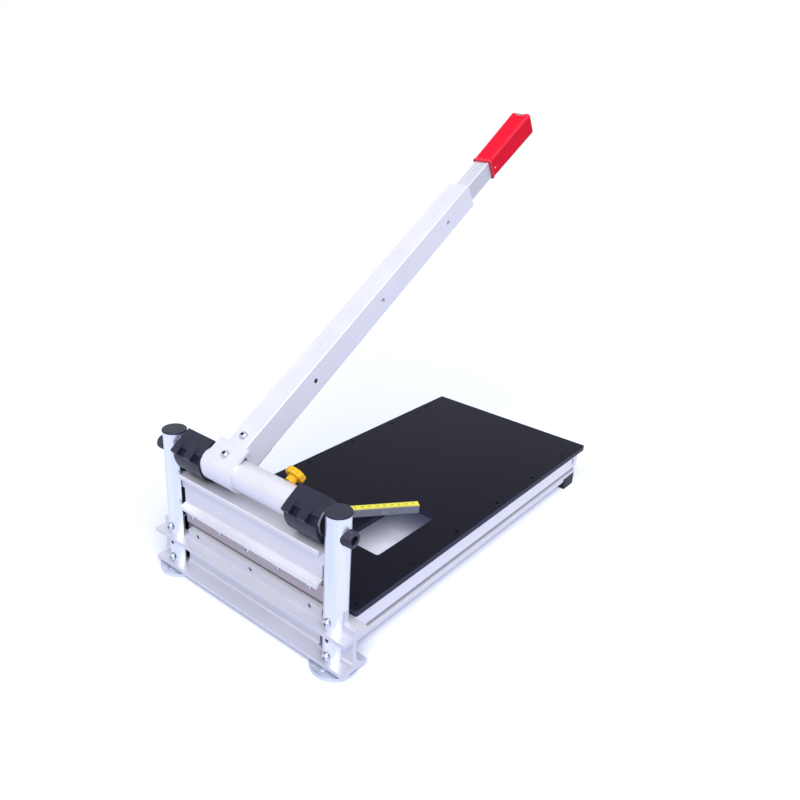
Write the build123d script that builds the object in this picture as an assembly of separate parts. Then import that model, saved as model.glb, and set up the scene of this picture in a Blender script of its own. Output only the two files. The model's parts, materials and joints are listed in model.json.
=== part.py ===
from build123d import *
from math import cos, pi, radians, sin, sqrt
import os

os.makedirs("parts", exist_ok=True)

# Millimetres. X runs along the blade to the right post, Y to the rear over the table, Z up.
# Pieces are drawn with Y measured from the axes of the posts. At the end they are moved along Y,
# so that the origin is on the floor, midway between the screw holes of the two foot discs.

# Posts, foot discs and caps
POST_X = 136.2
POST_R = 14.0
POST_BORE_R = 12.0
POST_TOP = 197.2
SLOT_IN = 9.0
SLOT_IN_TOP = 156.0
SLOT_OUT = 6.4
SLOT_OUT_TOP = 80.2
FOOT_R = 28.3
FOOT_T = 5.0
FOOT_HOLE_R = 3.5
FOOT_HOLE_Y = -19.0
CAP_R = 15.0
CAP_T = 2.2
CAP_EDGE = 1.2
CAP_STEM = 11.0
CAP_WALL = 1.8
CAP_PLAY = 0.1
POST_SCREW_Z = (20.5, 66.0)
SPARE_HOLE_Z = 42.0
SPARE_HOLE_R = 2.8

# Base beam: an extrusion along X
BEAM_HALF = 165.0
BEAM_BOTTOM = 7.8
WEB_HALF = 3.0
LOWER_FLANGE_TOP = 12.3
LOWER_FLANGE_FRONT = -18.6
UPPER_FLANGE_FRONT = -18.0
UPPER_FLANGE_TOP = 53.5
UPPER_FLANGE_T = 4.8
REAR_FOOT_Y = 21.0
REAR_FILLET = 18.0
SHELF_REAR = 20.5
SHELF_T = 3.5
RIB_Z = 18.3
RIB_HALF = 0.8
RIB_OUT = 1.8
ANVIL_SEAT_Z = 57.0
WALL_FRONT = 1.0
WALL_REAR = 6.0
WALL_HALF = 117.0
OPENING_IN = 116.2
OPENING_BOTTOM = 14.5
OPENING_R = 3.0
EAR_IN = 131.0
EAR_OUT = 151.0
EAR_TOP = 80.0
WEB_END_TOP = 63.5
WEB_END_R = 5.0
POST_PLAY = 0.1

# Anvil strip and blade
ANVIL_FRONT = -1.95
ANVIL_TOP = 65.0
ANVIL_HALF = 117.0
ANVIL_SCREW_X = (-98.0, 0.0, 98.0)
ANVIL_SCREW_Z = 61.0
BLADE_FRONT = -5.0
BLADE_REAR = -2.0
BLADE_X = (-114.0, 121.9)
BLADE_EDGE_Z = 74.0
BLADE_TOP = 100.8
BEVEL_RISE = 6.0
BEVEL_FLAT = 0.4
BLADE_SCREW_X = (-101.0, -50.5, 0.0, 50.5, 101.0)
BLADE_SCREW_Z = 91.5

# Blade bar: an extrusion along X with a flange, a web and a sloping lip; the web runs on as tongues
BAR_TOP = 145.5
BAR_FRONT = -10.0
BAR_HALF = 117.8
BAR_REAR = 20.0
BAR_FLANGE_T = 5.5
BAR_WEB_FRONT = -3.0
BAR_WEB_REAR = 4.1
BAR_WEB_FILLET = 5.0
LIP_TOP = 105.5
LIP_NOSE = (-11.3, 102.3)
LIP_FRONT = -12.0
LIP_BOTTOM = 98.5
LIP_FILLET = 2.5
LIP_GROOVES = (0.3, 0.5)
LIP_GROOVE = 0.9
JAW_BOTTOM = 86.0
BLADE_SLOT_TOP = 101.0
BAR_EDGE = 1.2
TONGUE_END = 146.0
TONGUE_TOP = 142.5
TONGUE_BOTTOM = 125.0

# Return springs, in the posts
SEAT_R = 11.2
SEAT_T = 1.5
SPRING_R = 9.6
SPRING_WIRE_R = 0.9
SPRING_TURNS = 10
SPRING_SIDES = 8

# Pivot and axle: the axle is eccentric to the pivot screws
PIVOT_Z = 173.0
AXLE_Y = 4.3
AXLE_Z = 178.0
AXLE_R = 17.5
AXLE_BORE_R = 14.03
AXLE_HALF = 70.9
PLUG_R = 14.0
PLUG_IN = 27.5
PLUG_OUT = 119.0
PLUG_FLANGE_R = 15.85
PLUG_FLANGE_T = 1.4
PIVOT_R = 6.0
PIVOT_HOLE_R = 6.02
PIVOT_RUN_R = 6.06
PIVOT_REACH = 85.0
PIVOT_HEAD_R = 9.0
PIVOT_HEAD_H = 12.0
PIVOT_SOCKET = 10.0
PIVOT_SOCKET_DEPTH = 7.0
PIVOT_SEAT_RIGHT = 10.4
PIVOT_SEAT_LEFT = 14.0
SPOT_FACE_R = 9.3
COLLAR_R = 17.4
COLLAR_BORE_R = 15.9
COLLAR_T = 2.2

# Cams: an involute about the pivot presses the flat top of the blade bar
CAM_IN = 71.0
CAM_OUT = 118.9
CAM_SPLIT = 94.95
CAM_BASE_R = 16.0
CAM_GAP = 0.3
CAM_RAISE = 31.0
CAM_LOWER = -36.0
CAM_STEPS = 8
CAM_FLAT = 18.3
CAM_FLAT_FRONT = -6.0
CAM_FLAT_REAR = 17.0
CAM_TOOTH_TOP = (-17.5, 17.0)
CAM_TOOTH_LOW = (-17.5, 12.2)
CAM_TOOTH_ROOT = (-16.2, 11.0)
CAM_NOSE = (-20.9, 0.5)
CAM_FRONT = (-21.8, -13.0)
CAM_BACK = (23.5, -18.0)
CAM_HEEL = (21.5, -30.0)
CAM_TOOTH_SHARE = 0.47
CAM_STEP = ((8.5, 18.3), (-7.0, 16.8), (-26.0, 16.0), (-26.0, 22.0), (8.5, 22.0))
CAM_NOTCH = ((-7.0, 22.0), (-8.2, 13.2), (-13.0, 9.6), (-17.2, 10.6), (-26.0, 12.0), (-26.0, 22.0))
KEY = 5.0
KEY_N = -11.5
KEY_IN = 73.0
KEY_OUT = 117.0

# Handle: u runs along it from the axle, n is square to it, w is the same as X
HANDLE_ANGLE = 32.75
HANDLE_W = -40.0
HANDLE_WIDTH = 31.4
HANDLE_HEIGHT = 35.0
HANDLE_WALL_W = 3.4
HANDLE_WALL_N = 3.0
HANDLE_START = 18.2
HANDLE_END = 519.5
HANDLE_CORNER = 1.2
GUIDE_RIB = 2.0
GUIDE_RIB_W = 7.0
GUIDE_PLAY = 0.25
HANDLE_HOLES_U = (148.8, 296.0, 458.0)
HANDLE_HOLE_R = 3.05
LOCK_R = 3.0
LOCK_SOCKET = 3.0
LOCK_SOCKET_DEPTH = 2.0
EXT_START = 132.0
EXT_END = 694.5
EXT_WIDTH = 24.0
EXT_HEIGHT = 25.0
EXT_WALL = 2.0
EXT_GROOVES = 4
EXT_GROOVE_W = 2.2
EXT_GROOVE_D = 0.8
EXT_GROOVE_PITCH = 4.6
GRIP_START = 580.5
GRIP_END = 701.5
GRIP_WALL = 2.3
GRIP_END_WALL = 3.8
GRIP_CORNER = 3.5
GRIP_LIP = 4.0
GRIP_LIP_OUT = 0.7
GRIP_HOLE_U = 591.0
GRIP_HOLE_N = -2.5
GRIP_HOLE_R = 1.6
GRIP_DISH_R = 60.0
GRIP_DISH = 1.4
GRIP_END_ROUND = 1.5

# Handle clamp: a strap bent round the axle
CLAMP_IN = -65.0
CLAMP_OUT = -15.0
CLAMP_T = 3.0
CLAMP_PLAY = 0.03
CLAMP_TOP_U = 24.5
CLAMP_WIDE_U = 22.0
CLAMP_BOTTOM_U = 52.0
CLAMP_TONGUE_W = 26.0
CLAMP_BOLT_U = (7.0, 38.0)

# Knob on the axle
KNOB_W = 44.3
KNOB_R = 12.2
KNOB_T = 8.0
KNOB_HUB_R = 6.2
KNOB_HUB_U = 18.0
KNOB_HEAD_U = 25.0
KNOB_EDGE = 2.0
KNOB_FLUTES = 8
KNOB_FLUTE_R = 3.0
KNOB_FLUTE_IN = 1.0
KNOB_STUD_END = 4.0

# Table board
BOARD_HALF = 146.3
BOARD_FRONT = 22.0
BOARD_REAR = 595.7
BOARD_TOP = 64.5
BOARD_T = 7.8
BOARD_CORNER = 3.0
CUTOUT_X = (36.5, 95.5)
CUTOUT_Y = (119.0, 244.0)
CUTOUT_CORNER = 4.0
TABLE_SCREW_X = 136.0
TABLE_SCREW_FIRST = 33.0
TABLE_SCREW_PITCH = 100.0
TABLE_SCREWS = 6

# Side rails and rear feet
RAIL_IN = 125.0
RAIL_FACE = 145.3
RAIL_BOTTOM = 13.0
RAIL_WALL = 3.5
RAIL_FRONT = 21.2
RAIL_REAR = 573.5
RAIL_BAND_Z = (27.5, 36.0)
RAIL_BAND = 142.6
RAIL_LIP_BOTTOM = 24.5
RAIL_STEP_Z = 41.5
RAIL_LOWER = 140.4
RAIL_SLOT_Y = (555.5, 562.5)
RAIL_SLOT_Z = (38.0, 53.0)
JOIN_IN = 100.0
JOIN_MID = 120.0
JOIN_OUT = 141.0
JOIN_FRONT = 4.5
JOIN_STEP = 19.5
JOIN_REAR = 60.0
JOIN_T = 3.0
JOIN_SCREWS = ((110.0, 13.0), (131.0, 50.0))
FOOT_BLOCK_X = (124.5, 142.9)
FOOT_BLOCK_Y = (546.6, 577.9)
FOOT_BLOCK_EDGE = 1.5
FOOT_CHEEK_TOP = 24.0
FOOT_CHEEK_PLAY = 0.1
FOOT_SCREW_RECESS_R = 5.0
FOOT_SCREW_RECESS = 6.0

# Fence: a bar that swings on the table about a bolt at its near end
FENCE_PIVOT = (-42.7, 98.5)
FENCE_ANGLE = 51.5
FENCE_WIDTH = 12.0
FENCE_HEIGHT = 11.0
FENCE_NEAR = -12.0
FENCE_FAR = 178.0
FENCE_LIFT = 0.1
TAPE_START = 9.0
TAPE_WIDTH = 11.0
TAPE_T = 0.4
FENCE_BOLT_SINK_R = 5.6
FENCE_BOLT_SINK = 5.0

# Screws: shank radius, head radius, head height
M4 = (2.0, 3.8, 2.0)
M5 = (2.5, 3.6, 3.0)
M6 = (3.0, 5.2, 4.0)
FIT = 0.05
SCREW_END = 1.0
DOME = 0.8
HEAD_CHAMFER = 1.0
M6_NUT_AF = 10.0
M6_NUT_H = 5.0

FOOT_TOP = FOOT_T
BOARD_BOTTOM = BOARD_TOP - BOARD_T
THETA = radians(HANDLE_ANGLE)
HANDLE = Plane(origin=(0, AXLE_Y, AXLE_Z), x_dir=(0, cos(THETA), sin(THETA)), z_dir=(1, 0, 0))
PIVOT_U = -AXLE_Y * cos(THETA) + (PIVOT_Z - AXLE_Z) * sin(THETA)
PIVOT_N = AXLE_Y * sin(THETA) + (PIVOT_Z - AXLE_Z) * cos(THETA)
FENCE = Location((*FENCE_PIVOT, 0), (0, 0, FENCE_ANGLE))
SPRING_BOTTOM = EAR_TOP + SEAT_T
SPRING_TOP = TONGUE_BOTTOM - SEAT_T


def block(x, y, z):
    """A box between a low and a high value on each axis."""
    size = Box(x[1] - x[0], y[1] - y[0], z[1] - z[0], align=(Align.MIN, Align.MIN, Align.MIN))
    return Pos(x[0], y[0], z[0]) * size


def rod(start, end, radius):
    """A round bar between two points."""
    run = Vector(*end) - Vector(*start)
    bar = Cylinder(radius, run.length, align=(Align.CENTER, Align.CENTER, Align.MIN))
    return Plane(origin=start, z_dir=run).location * bar


def ring(start, end, radius, bore):
    """A round tube or washer between two points."""
    return rod(start, end, radius) - rod(start, end, bore)


def face_of(*points):
    """A flat face with straight edges."""
    return make_face(Polyline(*points, close=True))


def along_x(face, x):
    """A face drawn with Y across and Z up, drawn out along X."""
    return Pos(x[0], 0, 0) * extrude(Plane.YZ * face, x[1] - x[0])


def along_w(face, w):
    """A face drawn with u across and n up, drawn out along the axle."""
    return HANDLE.location * (Pos(0, 0, w[0]) * extrude(face, w[1] - w[0]))


def on_handle(shape):
    """Places a shape made in u, n and w."""
    return HANDLE.location * shape


def pair(shape):
    """A piece and its mirror image on the other side of the machine."""
    return [shape, shape.mirror(Plane.YZ)]


def group(shapes):
    """Separate solids that share one node."""
    solids = [solid for shape in shapes for solid in shape.solids()]
    return Compound(children=solids) if len(solids) > 1 else solids[0]


def at(point, direction):
    """A place whose own Z axis points along direction."""
    return Plane(origin=point, z_dir=direction).location


def domed_screw(size, length):
    """Head above its own zero, shank below."""
    shank_r, head_r, head_h = size
    head = Cylinder(head_r, head_h, align=(Align.CENTER, Align.CENTER, Align.MIN))
    head = fillet(head.edges().group_by(Axis.Z)[-1], head_h * DOME)
    shank = Cylinder(shank_r, length, align=(Align.CENTER, Align.CENTER, Align.MAX))
    return head + shank


def sunk_screw(size, length, play=0.0):
    """A countersunk screw with its top at its own zero, or with play the hole that it sits in."""
    shank_r, head_r, head_h = size
    cone = Cone(shank_r + play, head_r + play, head_h, align=(Align.CENTER, Align.CENTER, Align.MAX))
    shank = Cylinder(shank_r + play, length, align=(Align.CENTER, Align.CENTER, Align.MAX))
    return cone + shank


def hex_prism(across_flats, height):
    """A hexagon standing on its own zero."""
    return extrude(RegularPolygon(across_flats / 2, 6, major_radius=False), height)


def hole_along_n(u, w, radius):
    """A round hole through the whole handle, square to it."""
    reach = 2 * AXLE_R
    return on_handle(rod((u, -reach, w), (u, reach, w), radius))


# Base

def base_beam():
    shelf_z = BOARD_BOTTOM - SHELF_T
    flange_z = UPPER_FLANGE_TOP - UPPER_FLANGE_T
    lower = Polyline(
        (WEB_HALF, REAR_FILLET + LOWER_FLANGE_TOP),
        (WEB_HALF, shelf_z),
        (SHELF_REAR, shelf_z),
        (SHELF_REAR, BOARD_BOTTOM),
        (WEB_HALF, BOARD_BOTTOM),
        (WEB_HALF, ANVIL_SEAT_Z),
        (-WEB_HALF, ANVIL_SEAT_Z),
        (-WEB_HALF, UPPER_FLANGE_TOP),
        (UPPER_FLANGE_FRONT, UPPER_FLANGE_TOP),
        (UPPER_FLANGE_FRONT, flange_z),
        (-WEB_HALF, flange_z),
        (-WEB_HALF, RIB_Z + RIB_HALF + RIB_OUT),
        (-WEB_HALF - RIB_OUT, RIB_Z + RIB_HALF),
        (-WEB_HALF - RIB_OUT, RIB_Z - RIB_HALF),
        (-WEB_HALF, RIB_Z - RIB_HALF - RIB_OUT),
        (-WEB_HALF, LOWER_FLANGE_TOP),
        (LOWER_FLANGE_FRONT, LOWER_FLANGE_TOP),
        (LOWER_FLANGE_FRONT, BEAM_BOTTOM),
        (REAR_FOOT_Y, BEAM_BOTTOM),
        (REAR_FOOT_Y, LOWER_FLANGE_TOP),
    )
    sweep_in = RadiusArc(lower @ 1, lower @ 0, REAR_FILLET)
    beam = along_x(make_face(Wire([*lower.edges(), sweep_in.edge()])), (-BEAM_HALF, BEAM_HALF))
    beam += block((-WALL_HALF, WALL_HALF), (WALL_FRONT, WALL_REAR), (shelf_z, ANVIL_TOP))
    for side in (1, -1):
        post = rod((side * POST_X, 0, 0), (side * POST_X, 0, BOARD_TOP), POST_R + POST_PLAY)
        beam -= post - block((-BEAM_HALF, BEAM_HALF), (-WEB_HALF, WEB_HALF), (0, BOARD_TOP))
    for end in pair(web_end()):
        beam += end
    for opening in pair(web_opening()):
        beam -= opening
    for z in POST_SCREW_Z:
        for side in (1, -1):
            beam -= rod((side * POST_X, -POST_R, z), (side * POST_X, POST_R, z), M6[0] + FIT)
    for x in ANVIL_SCREW_X:
        beam -= rod((x, 0, ANVIL_SCREW_Z), (x, WALL_REAR, ANVIL_SCREW_Z), M4[0] + FIT)
    for x, y in JOIN_SCREWS[:1]:
        for hole in pair(at((x, y, BOARD_BOTTOM), (0, 0, 1)) * sunk_screw(M4, SHELF_T, FIT)):
            beam -= hole
    return beam


def web_opening():
    """The opening in the web beside a post, from the lower flange to the upper one."""
    z = (OPENING_BOTTOM, UPPER_FLANGE_TOP - UPPER_FLANGE_T)
    opening = block((OPENING_IN, EAR_IN), (-WEB_HALF - RIB_OUT, REAR_FOOT_Y), z)
    inner = opening.edges().filter_by(Axis.Y).group_by(Axis.X)[0]
    return fillet(inner.sort_by(Axis.Z)[0], OPENING_R)


def web_end():
    """The web past the wall: an ear that stands inside the post and a lower end outside it."""
    corner_z = WEB_END_TOP + WEB_END_R
    edge = Polyline(
        (EAR_OUT, corner_z),
        (EAR_OUT, EAR_TOP),
        (EAR_IN, EAR_TOP),
        (EAR_IN, ANVIL_SEAT_Z),
        (BEAM_HALF, ANVIL_SEAT_Z),
        (BEAM_HALF, WEB_END_TOP),
        (EAR_OUT + WEB_END_R, WEB_END_TOP),
    )
    corner = RadiusArc(edge @ 1, edge @ 0, WEB_END_R)
    face = make_face(Wire([*edge.edges(), corner.edge()]))
    return Pos(0, WEB_HALF, 0) * extrude(Plane.XZ * face, 2 * WEB_HALF)


def anvil_strip():
    strip = block((-ANVIL_HALF, ANVIL_HALF), (ANVIL_FRONT, WALL_FRONT), (ANVIL_SEAT_Z, ANVIL_TOP))
    for x in ANVIL_SCREW_X:
        seat = at((x, ANVIL_FRONT, ANVIL_SCREW_Z), (0, -1, 0))
        strip -= seat * sunk_screw(M4, WALL_FRONT - ANVIL_FRONT, FIT)
    return strip


def anvil_screws():
    length = WALL_REAR - ANVIL_FRONT
    seats = [at((x, ANVIL_FRONT, ANVIL_SCREW_Z), (0, -1, 0)) for x in ANVIL_SCREW_X]
    return group([seat * sunk_screw(M4, length) for seat in seats])


def post(seat):
    """A right post: a tube slotted on its inner side for the blade bar and outside for the web."""
    tube = ring((POST_X, 0, FOOT_TOP), (POST_X, 0, POST_TOP), POST_R, POST_BORE_R)
    half_in = SLOT_IN / 2
    half_out = SLOT_OUT / 2
    tube -= block((POST_X - POST_R, POST_X), (-half_in, half_in), (FOOT_TOP, SLOT_IN_TOP))
    tube -= block((POST_X, POST_X + POST_R), (-half_out, half_out), (FOOT_TOP, SLOT_OUT_TOP))
    reach = 2 * POST_R
    tube -= rod((POST_X - reach, 0, PIVOT_Z), (POST_X + reach, 0, PIVOT_Z), PIVOT_HOLE_R)
    tube -= rod((POST_X + seat, 0, PIVOT_Z), (POST_X + reach, 0, PIVOT_Z), SPOT_FACE_R)
    for z in POST_SCREW_Z:
        tube -= rod((POST_X, -reach, z), (POST_X, 0, z), M6[0] + FIT)
    tube -= rod((POST_X, -reach, SPARE_HOLE_Z), (POST_X, 0, SPARE_HOLE_Z), SPARE_HOLE_R)
    return tube


def foot_disc():
    disc = rod((POST_X, 0, 0), (POST_X, 0, FOOT_T), FOOT_R)
    return disc - rod((POST_X, FOOT_HOLE_Y, 0), (POST_X, FOOT_HOLE_Y, FOOT_T), FOOT_HOLE_R)


def post_cap():
    head = rod((POST_X, 0, POST_TOP), (POST_X, 0, POST_TOP + CAP_T), CAP_R)
    head = fillet(head.edges().group_by(Axis.Z)[-1], CAP_EDGE)
    stem_r = POST_BORE_R - CAP_PLAY
    bottom = POST_TOP - CAP_STEM
    return head + ring((POST_X, 0, bottom), (POST_X, 0, POST_TOP), stem_r, stem_r - CAP_WALL)


def post_screws():
    screws = []
    for z in POST_SCREW_Z:
        screws += pair(at((POST_X, -POST_R, z), (0, -1, 0)) * domed_screw(M6, POST_R + WEB_HALF))
    return group(screws)


def pivot_screw(seat):
    """A right pivot screw, with its socket head on the seat outside the post."""
    face_x = POST_X + seat
    head = at((face_x, 0, PIVOT_Z), (1, 0, 0)) * Cylinder(
        PIVOT_HEAD_R, PIVOT_HEAD_H, align=(Align.CENTER, Align.CENTER, Align.MIN)
    )
    head = chamfer(head.edges().group_by(Axis.X)[-1], HEAD_CHAMFER)
    socket = hex_prism(PIVOT_SOCKET, PIVOT_SOCKET_DEPTH)
    socket = at((face_x + PIVOT_HEAD_H, 0, PIVOT_Z), (-1, 0, 0)) * socket
    return head - socket + rod((PIVOT_REACH, 0, PIVOT_Z), (face_x, 0, PIVOT_Z), PIVOT_R)


# Table

def table_screw_places():
    rows = [TABLE_SCREW_FIRST + i * TABLE_SCREW_PITCH for i in range(TABLE_SCREWS)]
    return [at((side * TABLE_SCREW_X, y, BOARD_TOP), (0, 0, 1)) for side in (1, -1) for y in rows]


def table_board():
    middle = (BOARD_FRONT + BOARD_REAR) / 2
    outline = Pos(0, middle) * RectangleRounded(2 * BOARD_HALF, BOARD_REAR - BOARD_FRONT, BOARD_CORNER)
    across = CUTOUT_X[1] - CUTOUT_X[0]
    deep = CUTOUT_Y[1] - CUTOUT_Y[0]
    centre = Pos((CUTOUT_X[0] + CUTOUT_X[1]) / 2, (CUTOUT_Y[0] + CUTOUT_Y[1]) / 2)
    outline -= centre * RectangleRounded(across, deep, CUTOUT_CORNER)
    board = Pos(0, 0, BOARD_BOTTOM) * extrude(outline, BOARD_T)
    for place in table_screw_places():
        board -= place * sunk_screw(M4, BOARD_T, FIT)
    return board - rod((*FENCE_PIVOT, BOARD_BOTTOM), (*FENCE_PIVOT, BOARD_TOP), M6[0] + FIT)


def table_screws():
    return group([place * sunk_screw(M4, BOARD_T + 2 * RAIL_WALL) for place in table_screw_places()])


def rail():
    """The right side rail: a channel open to the inside, with a band and a lip on its outer face."""
    upper_in = RAIL_FACE - RAIL_WALL
    lower_in = RAIL_LOWER - RAIL_WALL
    section = face_of(
        (RAIL_IN, BOARD_BOTTOM),
        (RAIL_FACE, BOARD_BOTTOM),
        (RAIL_FACE, RAIL_BAND_Z[1]),
        (RAIL_BAND, RAIL_BAND_Z[1]),
        (RAIL_BAND, RAIL_BAND_Z[0]),
        (RAIL_FACE, RAIL_BAND_Z[0]),
        (RAIL_FACE, RAIL_LIP_BOTTOM),
        (RAIL_LOWER, RAIL_LIP_BOTTOM),
        (RAIL_LOWER, RAIL_BOTTOM),
        (RAIL_IN, RAIL_BOTTOM),
        (RAIL_IN, RAIL_BOTTOM + RAIL_WALL),
        (lower_in, RAIL_BOTTOM + RAIL_WALL),
        (lower_in, RAIL_BAND_Z[1]),
        (upper_in, RAIL_STEP_Z),
        (upper_in, BOARD_BOTTOM - RAIL_WALL),
        (RAIL_IN, BOARD_BOTTOM - RAIL_WALL),
    )
    bar = Pos(0, RAIL_REAR, 0) * extrude(Plane.XZ * section, RAIL_REAR - RAIL_FRONT)
    bar -= block((upper_in, RAIL_FACE), RAIL_SLOT_Y, RAIL_SLOT_Z)
    for place in table_screw_places()[:TABLE_SCREWS]:
        bar -= place * sunk_screw(M4, BOARD_T + 2 * RAIL_WALL, FIT)
    for x, y in JOIN_SCREWS[1:]:
        bar -= at((x, y, BOARD_BOTTOM), (0, 0, 1)) * sunk_screw(M4, RAIL_WALL, FIT)
    x, y = foot_screw_place()
    return bar - rod((x, y, RAIL_BOTTOM), (x, y, RAIL_BOTTOM + RAIL_WALL), M4[0] + FIT)


def joining_plate():
    """A flat steel plate under the beam's shelf and the rail, cut back round the post."""
    top = BOARD_BOTTOM - RAIL_WALL
    z = (top - JOIN_T, top)
    plate = block((JOIN_IN, JOIN_MID), (JOIN_FRONT, JOIN_REAR), z)
    plate += block((JOIN_IN, JOIN_OUT), (JOIN_STEP, JOIN_REAR), z)
    for x, y in JOIN_SCREWS:
        plate -= rod((x, y, z[0]), (x, y, z[1]), M4[0] + FIT)
    return plate - table_screw_places()[0] * sunk_screw(M4, BOARD_T + 2 * RAIL_WALL, FIT)


def joining_plates():
    return group(pair(joining_plate()))


def joining_screws():
    length = RAIL_WALL + JOIN_T
    screws = []
    for x, y in JOIN_SCREWS:
        screws += pair(at((x, y, BOARD_BOTTOM), (0, 0, 1)) * sunk_screw(M4, length))
    return group(screws)


def foot_screw_place():
    return ((RAIL_IN + RAIL_LOWER - RAIL_WALL) / 2, sum(FOOT_BLOCK_Y) / 2)


def rear_foot():
    """A block under the rail, with a cheek that covers the rail's lower wall."""
    foot = block(FOOT_BLOCK_X, FOOT_BLOCK_Y, (0, RAIL_BOTTOM))
    cheek_x = (RAIL_LOWER + FOOT_CHEEK_PLAY, FOOT_BLOCK_X[1])
    foot += block(cheek_x, FOOT_BLOCK_Y, (RAIL_BOTTOM, FOOT_CHEEK_TOP))
    upright = foot.edges().filter_by(Axis.Z)
    foot = fillet(upright.group_by(Axis.X)[-1] + upright.group_by(Axis.X)[0], FOOT_BLOCK_EDGE)
    x, y = foot_screw_place()
    foot -= rod((x, y, 0), (x, y, FOOT_SCREW_RECESS), FOOT_SCREW_RECESS_R)
    return foot - rod((x, y, 0), (x, y, RAIL_BOTTOM), M4[0] + FIT)


def rear_foot_screws():
    x, y = foot_screw_place()
    length = RAIL_BOTTOM - FOOT_SCREW_RECESS + RAIL_WALL
    return group(pair(at((x, y, FOOT_SCREW_RECESS), (0, 0, -1)) * domed_screw(M4, length)))


# Fence

def fence_bar():
    z = (BOARD_TOP + FENCE_LIFT, BOARD_TOP + FENCE_LIFT + FENCE_HEIGHT)
    bar = block((FENCE_NEAR, FENCE_FAR), (-FENCE_WIDTH / 2, FENCE_WIDTH / 2), z)
    bar -= rod((0, 0, z[0]), (0, 0, z[1]), M6[0] + FIT)
    bar -= rod((0, 0, z[1] - FENCE_BOLT_SINK), (0, 0, z[1]), FENCE_BOLT_SINK_R)
    return FENCE * bar


def fence_ruler():
    low = BOARD_TOP + FENCE_LIFT + FENCE_HEIGHT
    return FENCE * block((TAPE_START, FENCE_FAR), (-TAPE_WIDTH / 2, TAPE_WIDTH / 2), (low, low + TAPE_T))


def fence_bolt_seat():
    return BOARD_TOP + FENCE_LIFT + FENCE_HEIGHT - FENCE_BOLT_SINK + FENCE_LIFT


def fence_pivot_bolt():
    length = fence_bolt_seat() - BOARD_BOTTOM + M6_NUT_H + SCREW_END
    return at((*FENCE_PIVOT, fence_bolt_seat()), (0, 0, 1)) * domed_screw(M6, length)


def fence_pivot_nut():
    nut = at((*FENCE_PIVOT, BOARD_BOTTOM), (0, 0, -1)) * hex_prism(M6_NUT_AF, M6_NUT_H)
    return nut - rod((*FENCE_PIVOT, 0), (*FENCE_PIVOT, BOARD_BOTTOM), M6[0] + FIT)


# Blade

def rounded(face, corner, radius):
    """Rounds the corner of a flat face that is nearest to a point."""
    nearest = face.vertices().sort_by_distance((*corner, 0))[0]
    return fillet(nearest, radius)


def blade_bar():
    flange_z = BAR_TOP - BAR_FLANGE_T
    lip_root = (BAR_WEB_FRONT, LIP_TOP)
    web_root = (BAR_WEB_REAR, flange_z)
    section = face_of(
        lip_root,
        (BAR_WEB_FRONT, flange_z),
        (BAR_FRONT, flange_z),
        (BAR_FRONT, BAR_TOP - BAR_EDGE),
        (BAR_FRONT + BAR_EDGE, BAR_TOP),
        (BAR_REAR, BAR_TOP),
        (BAR_REAR, flange_z),
        web_root,
        (BAR_WEB_REAR, JAW_BOTTOM),
        (BLADE_REAR, JAW_BOTTOM),
        (BLADE_REAR, BLADE_SLOT_TOP),
        (BLADE_FRONT, BLADE_SLOT_TOP),
        (BLADE_FRONT, LIP_BOTTOM),
        (LIP_FRONT, LIP_BOTTOM),
        LIP_NOSE,
    )
    section = rounded(section, lip_root, LIP_FILLET)
    section = rounded(section, web_root, BAR_WEB_FILLET)
    for share in LIP_GROOVES:
        y = LIP_NOSE[0] + share * (BAR_WEB_FRONT - LIP_NOSE[0])
        z = LIP_NOSE[1] + share * (LIP_TOP - LIP_NOSE[1])
        section -= Pos(y, z) * RegularPolygon(LIP_GROOVE / 2, 4)
    bar = along_x(section, (-BAR_HALF, BAR_HALF))
    bar += block((-TONGUE_END, TONGUE_END), (BAR_WEB_FRONT, BAR_WEB_REAR), (TONGUE_BOTTOM, TONGUE_TOP))
    for x in BLADE_SCREW_X:
        bar -= rod((x, BLADE_REAR, BLADE_SCREW_Z), (x, BAR_WEB_REAR, BLADE_SCREW_Z), M5[0] + FIT)
    return bar


def blade():
    section = face_of(
        (BLADE_REAR, BLADE_EDGE_Z),
        (BLADE_REAR, BLADE_TOP),
        (BLADE_FRONT, BLADE_TOP),
        (BLADE_FRONT, BLADE_EDGE_Z + BEVEL_RISE),
        (BLADE_REAR - BEVEL_FLAT, BLADE_EDGE_Z),
    )
    strip = along_x(section, BLADE_X)
    for x in BLADE_SCREW_X:
        strip -= rod((x, BLADE_FRONT, BLADE_SCREW_Z), (x, BLADE_REAR, BLADE_SCREW_Z), M5[0] + FIT)
    return strip


def blade_screws():
    seats = [at((x, BLADE_FRONT, BLADE_SCREW_Z), (0, -1, 0)) for x in BLADE_SCREW_X]
    return group([seat * domed_screw(M5, BAR_WEB_REAR - BLADE_FRONT) for seat in seats])


# Springs

def spring_washer(low):
    return ring((POST_X, 0, low), (POST_X, 0, low + SEAT_T), SEAT_R, SPRING_R - 2 * SPRING_WIRE_R)


def spring_seats():
    return group(pair(spring_washer(EAR_TOP)))


def spring_caps():
    return group(pair(spring_washer(SPRING_TOP)))


def helix_point(turn):
    """Point and direction on the right spring's centre line."""
    rise = SPRING_TOP - SPRING_BOTTOM - 2 * SPRING_WIRE_R
    angle = 2 * pi * turn
    z = SPRING_BOTTOM + SPRING_WIRE_R + rise * turn / SPRING_TURNS
    point = Vector(POST_X + SPRING_R * cos(angle), SPRING_R * sin(angle), z)
    slope = rise / SPRING_TURNS / (2 * pi)
    return point, Vector(-SPRING_R * sin(angle), SPRING_R * cos(angle), slope).normalized()


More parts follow.
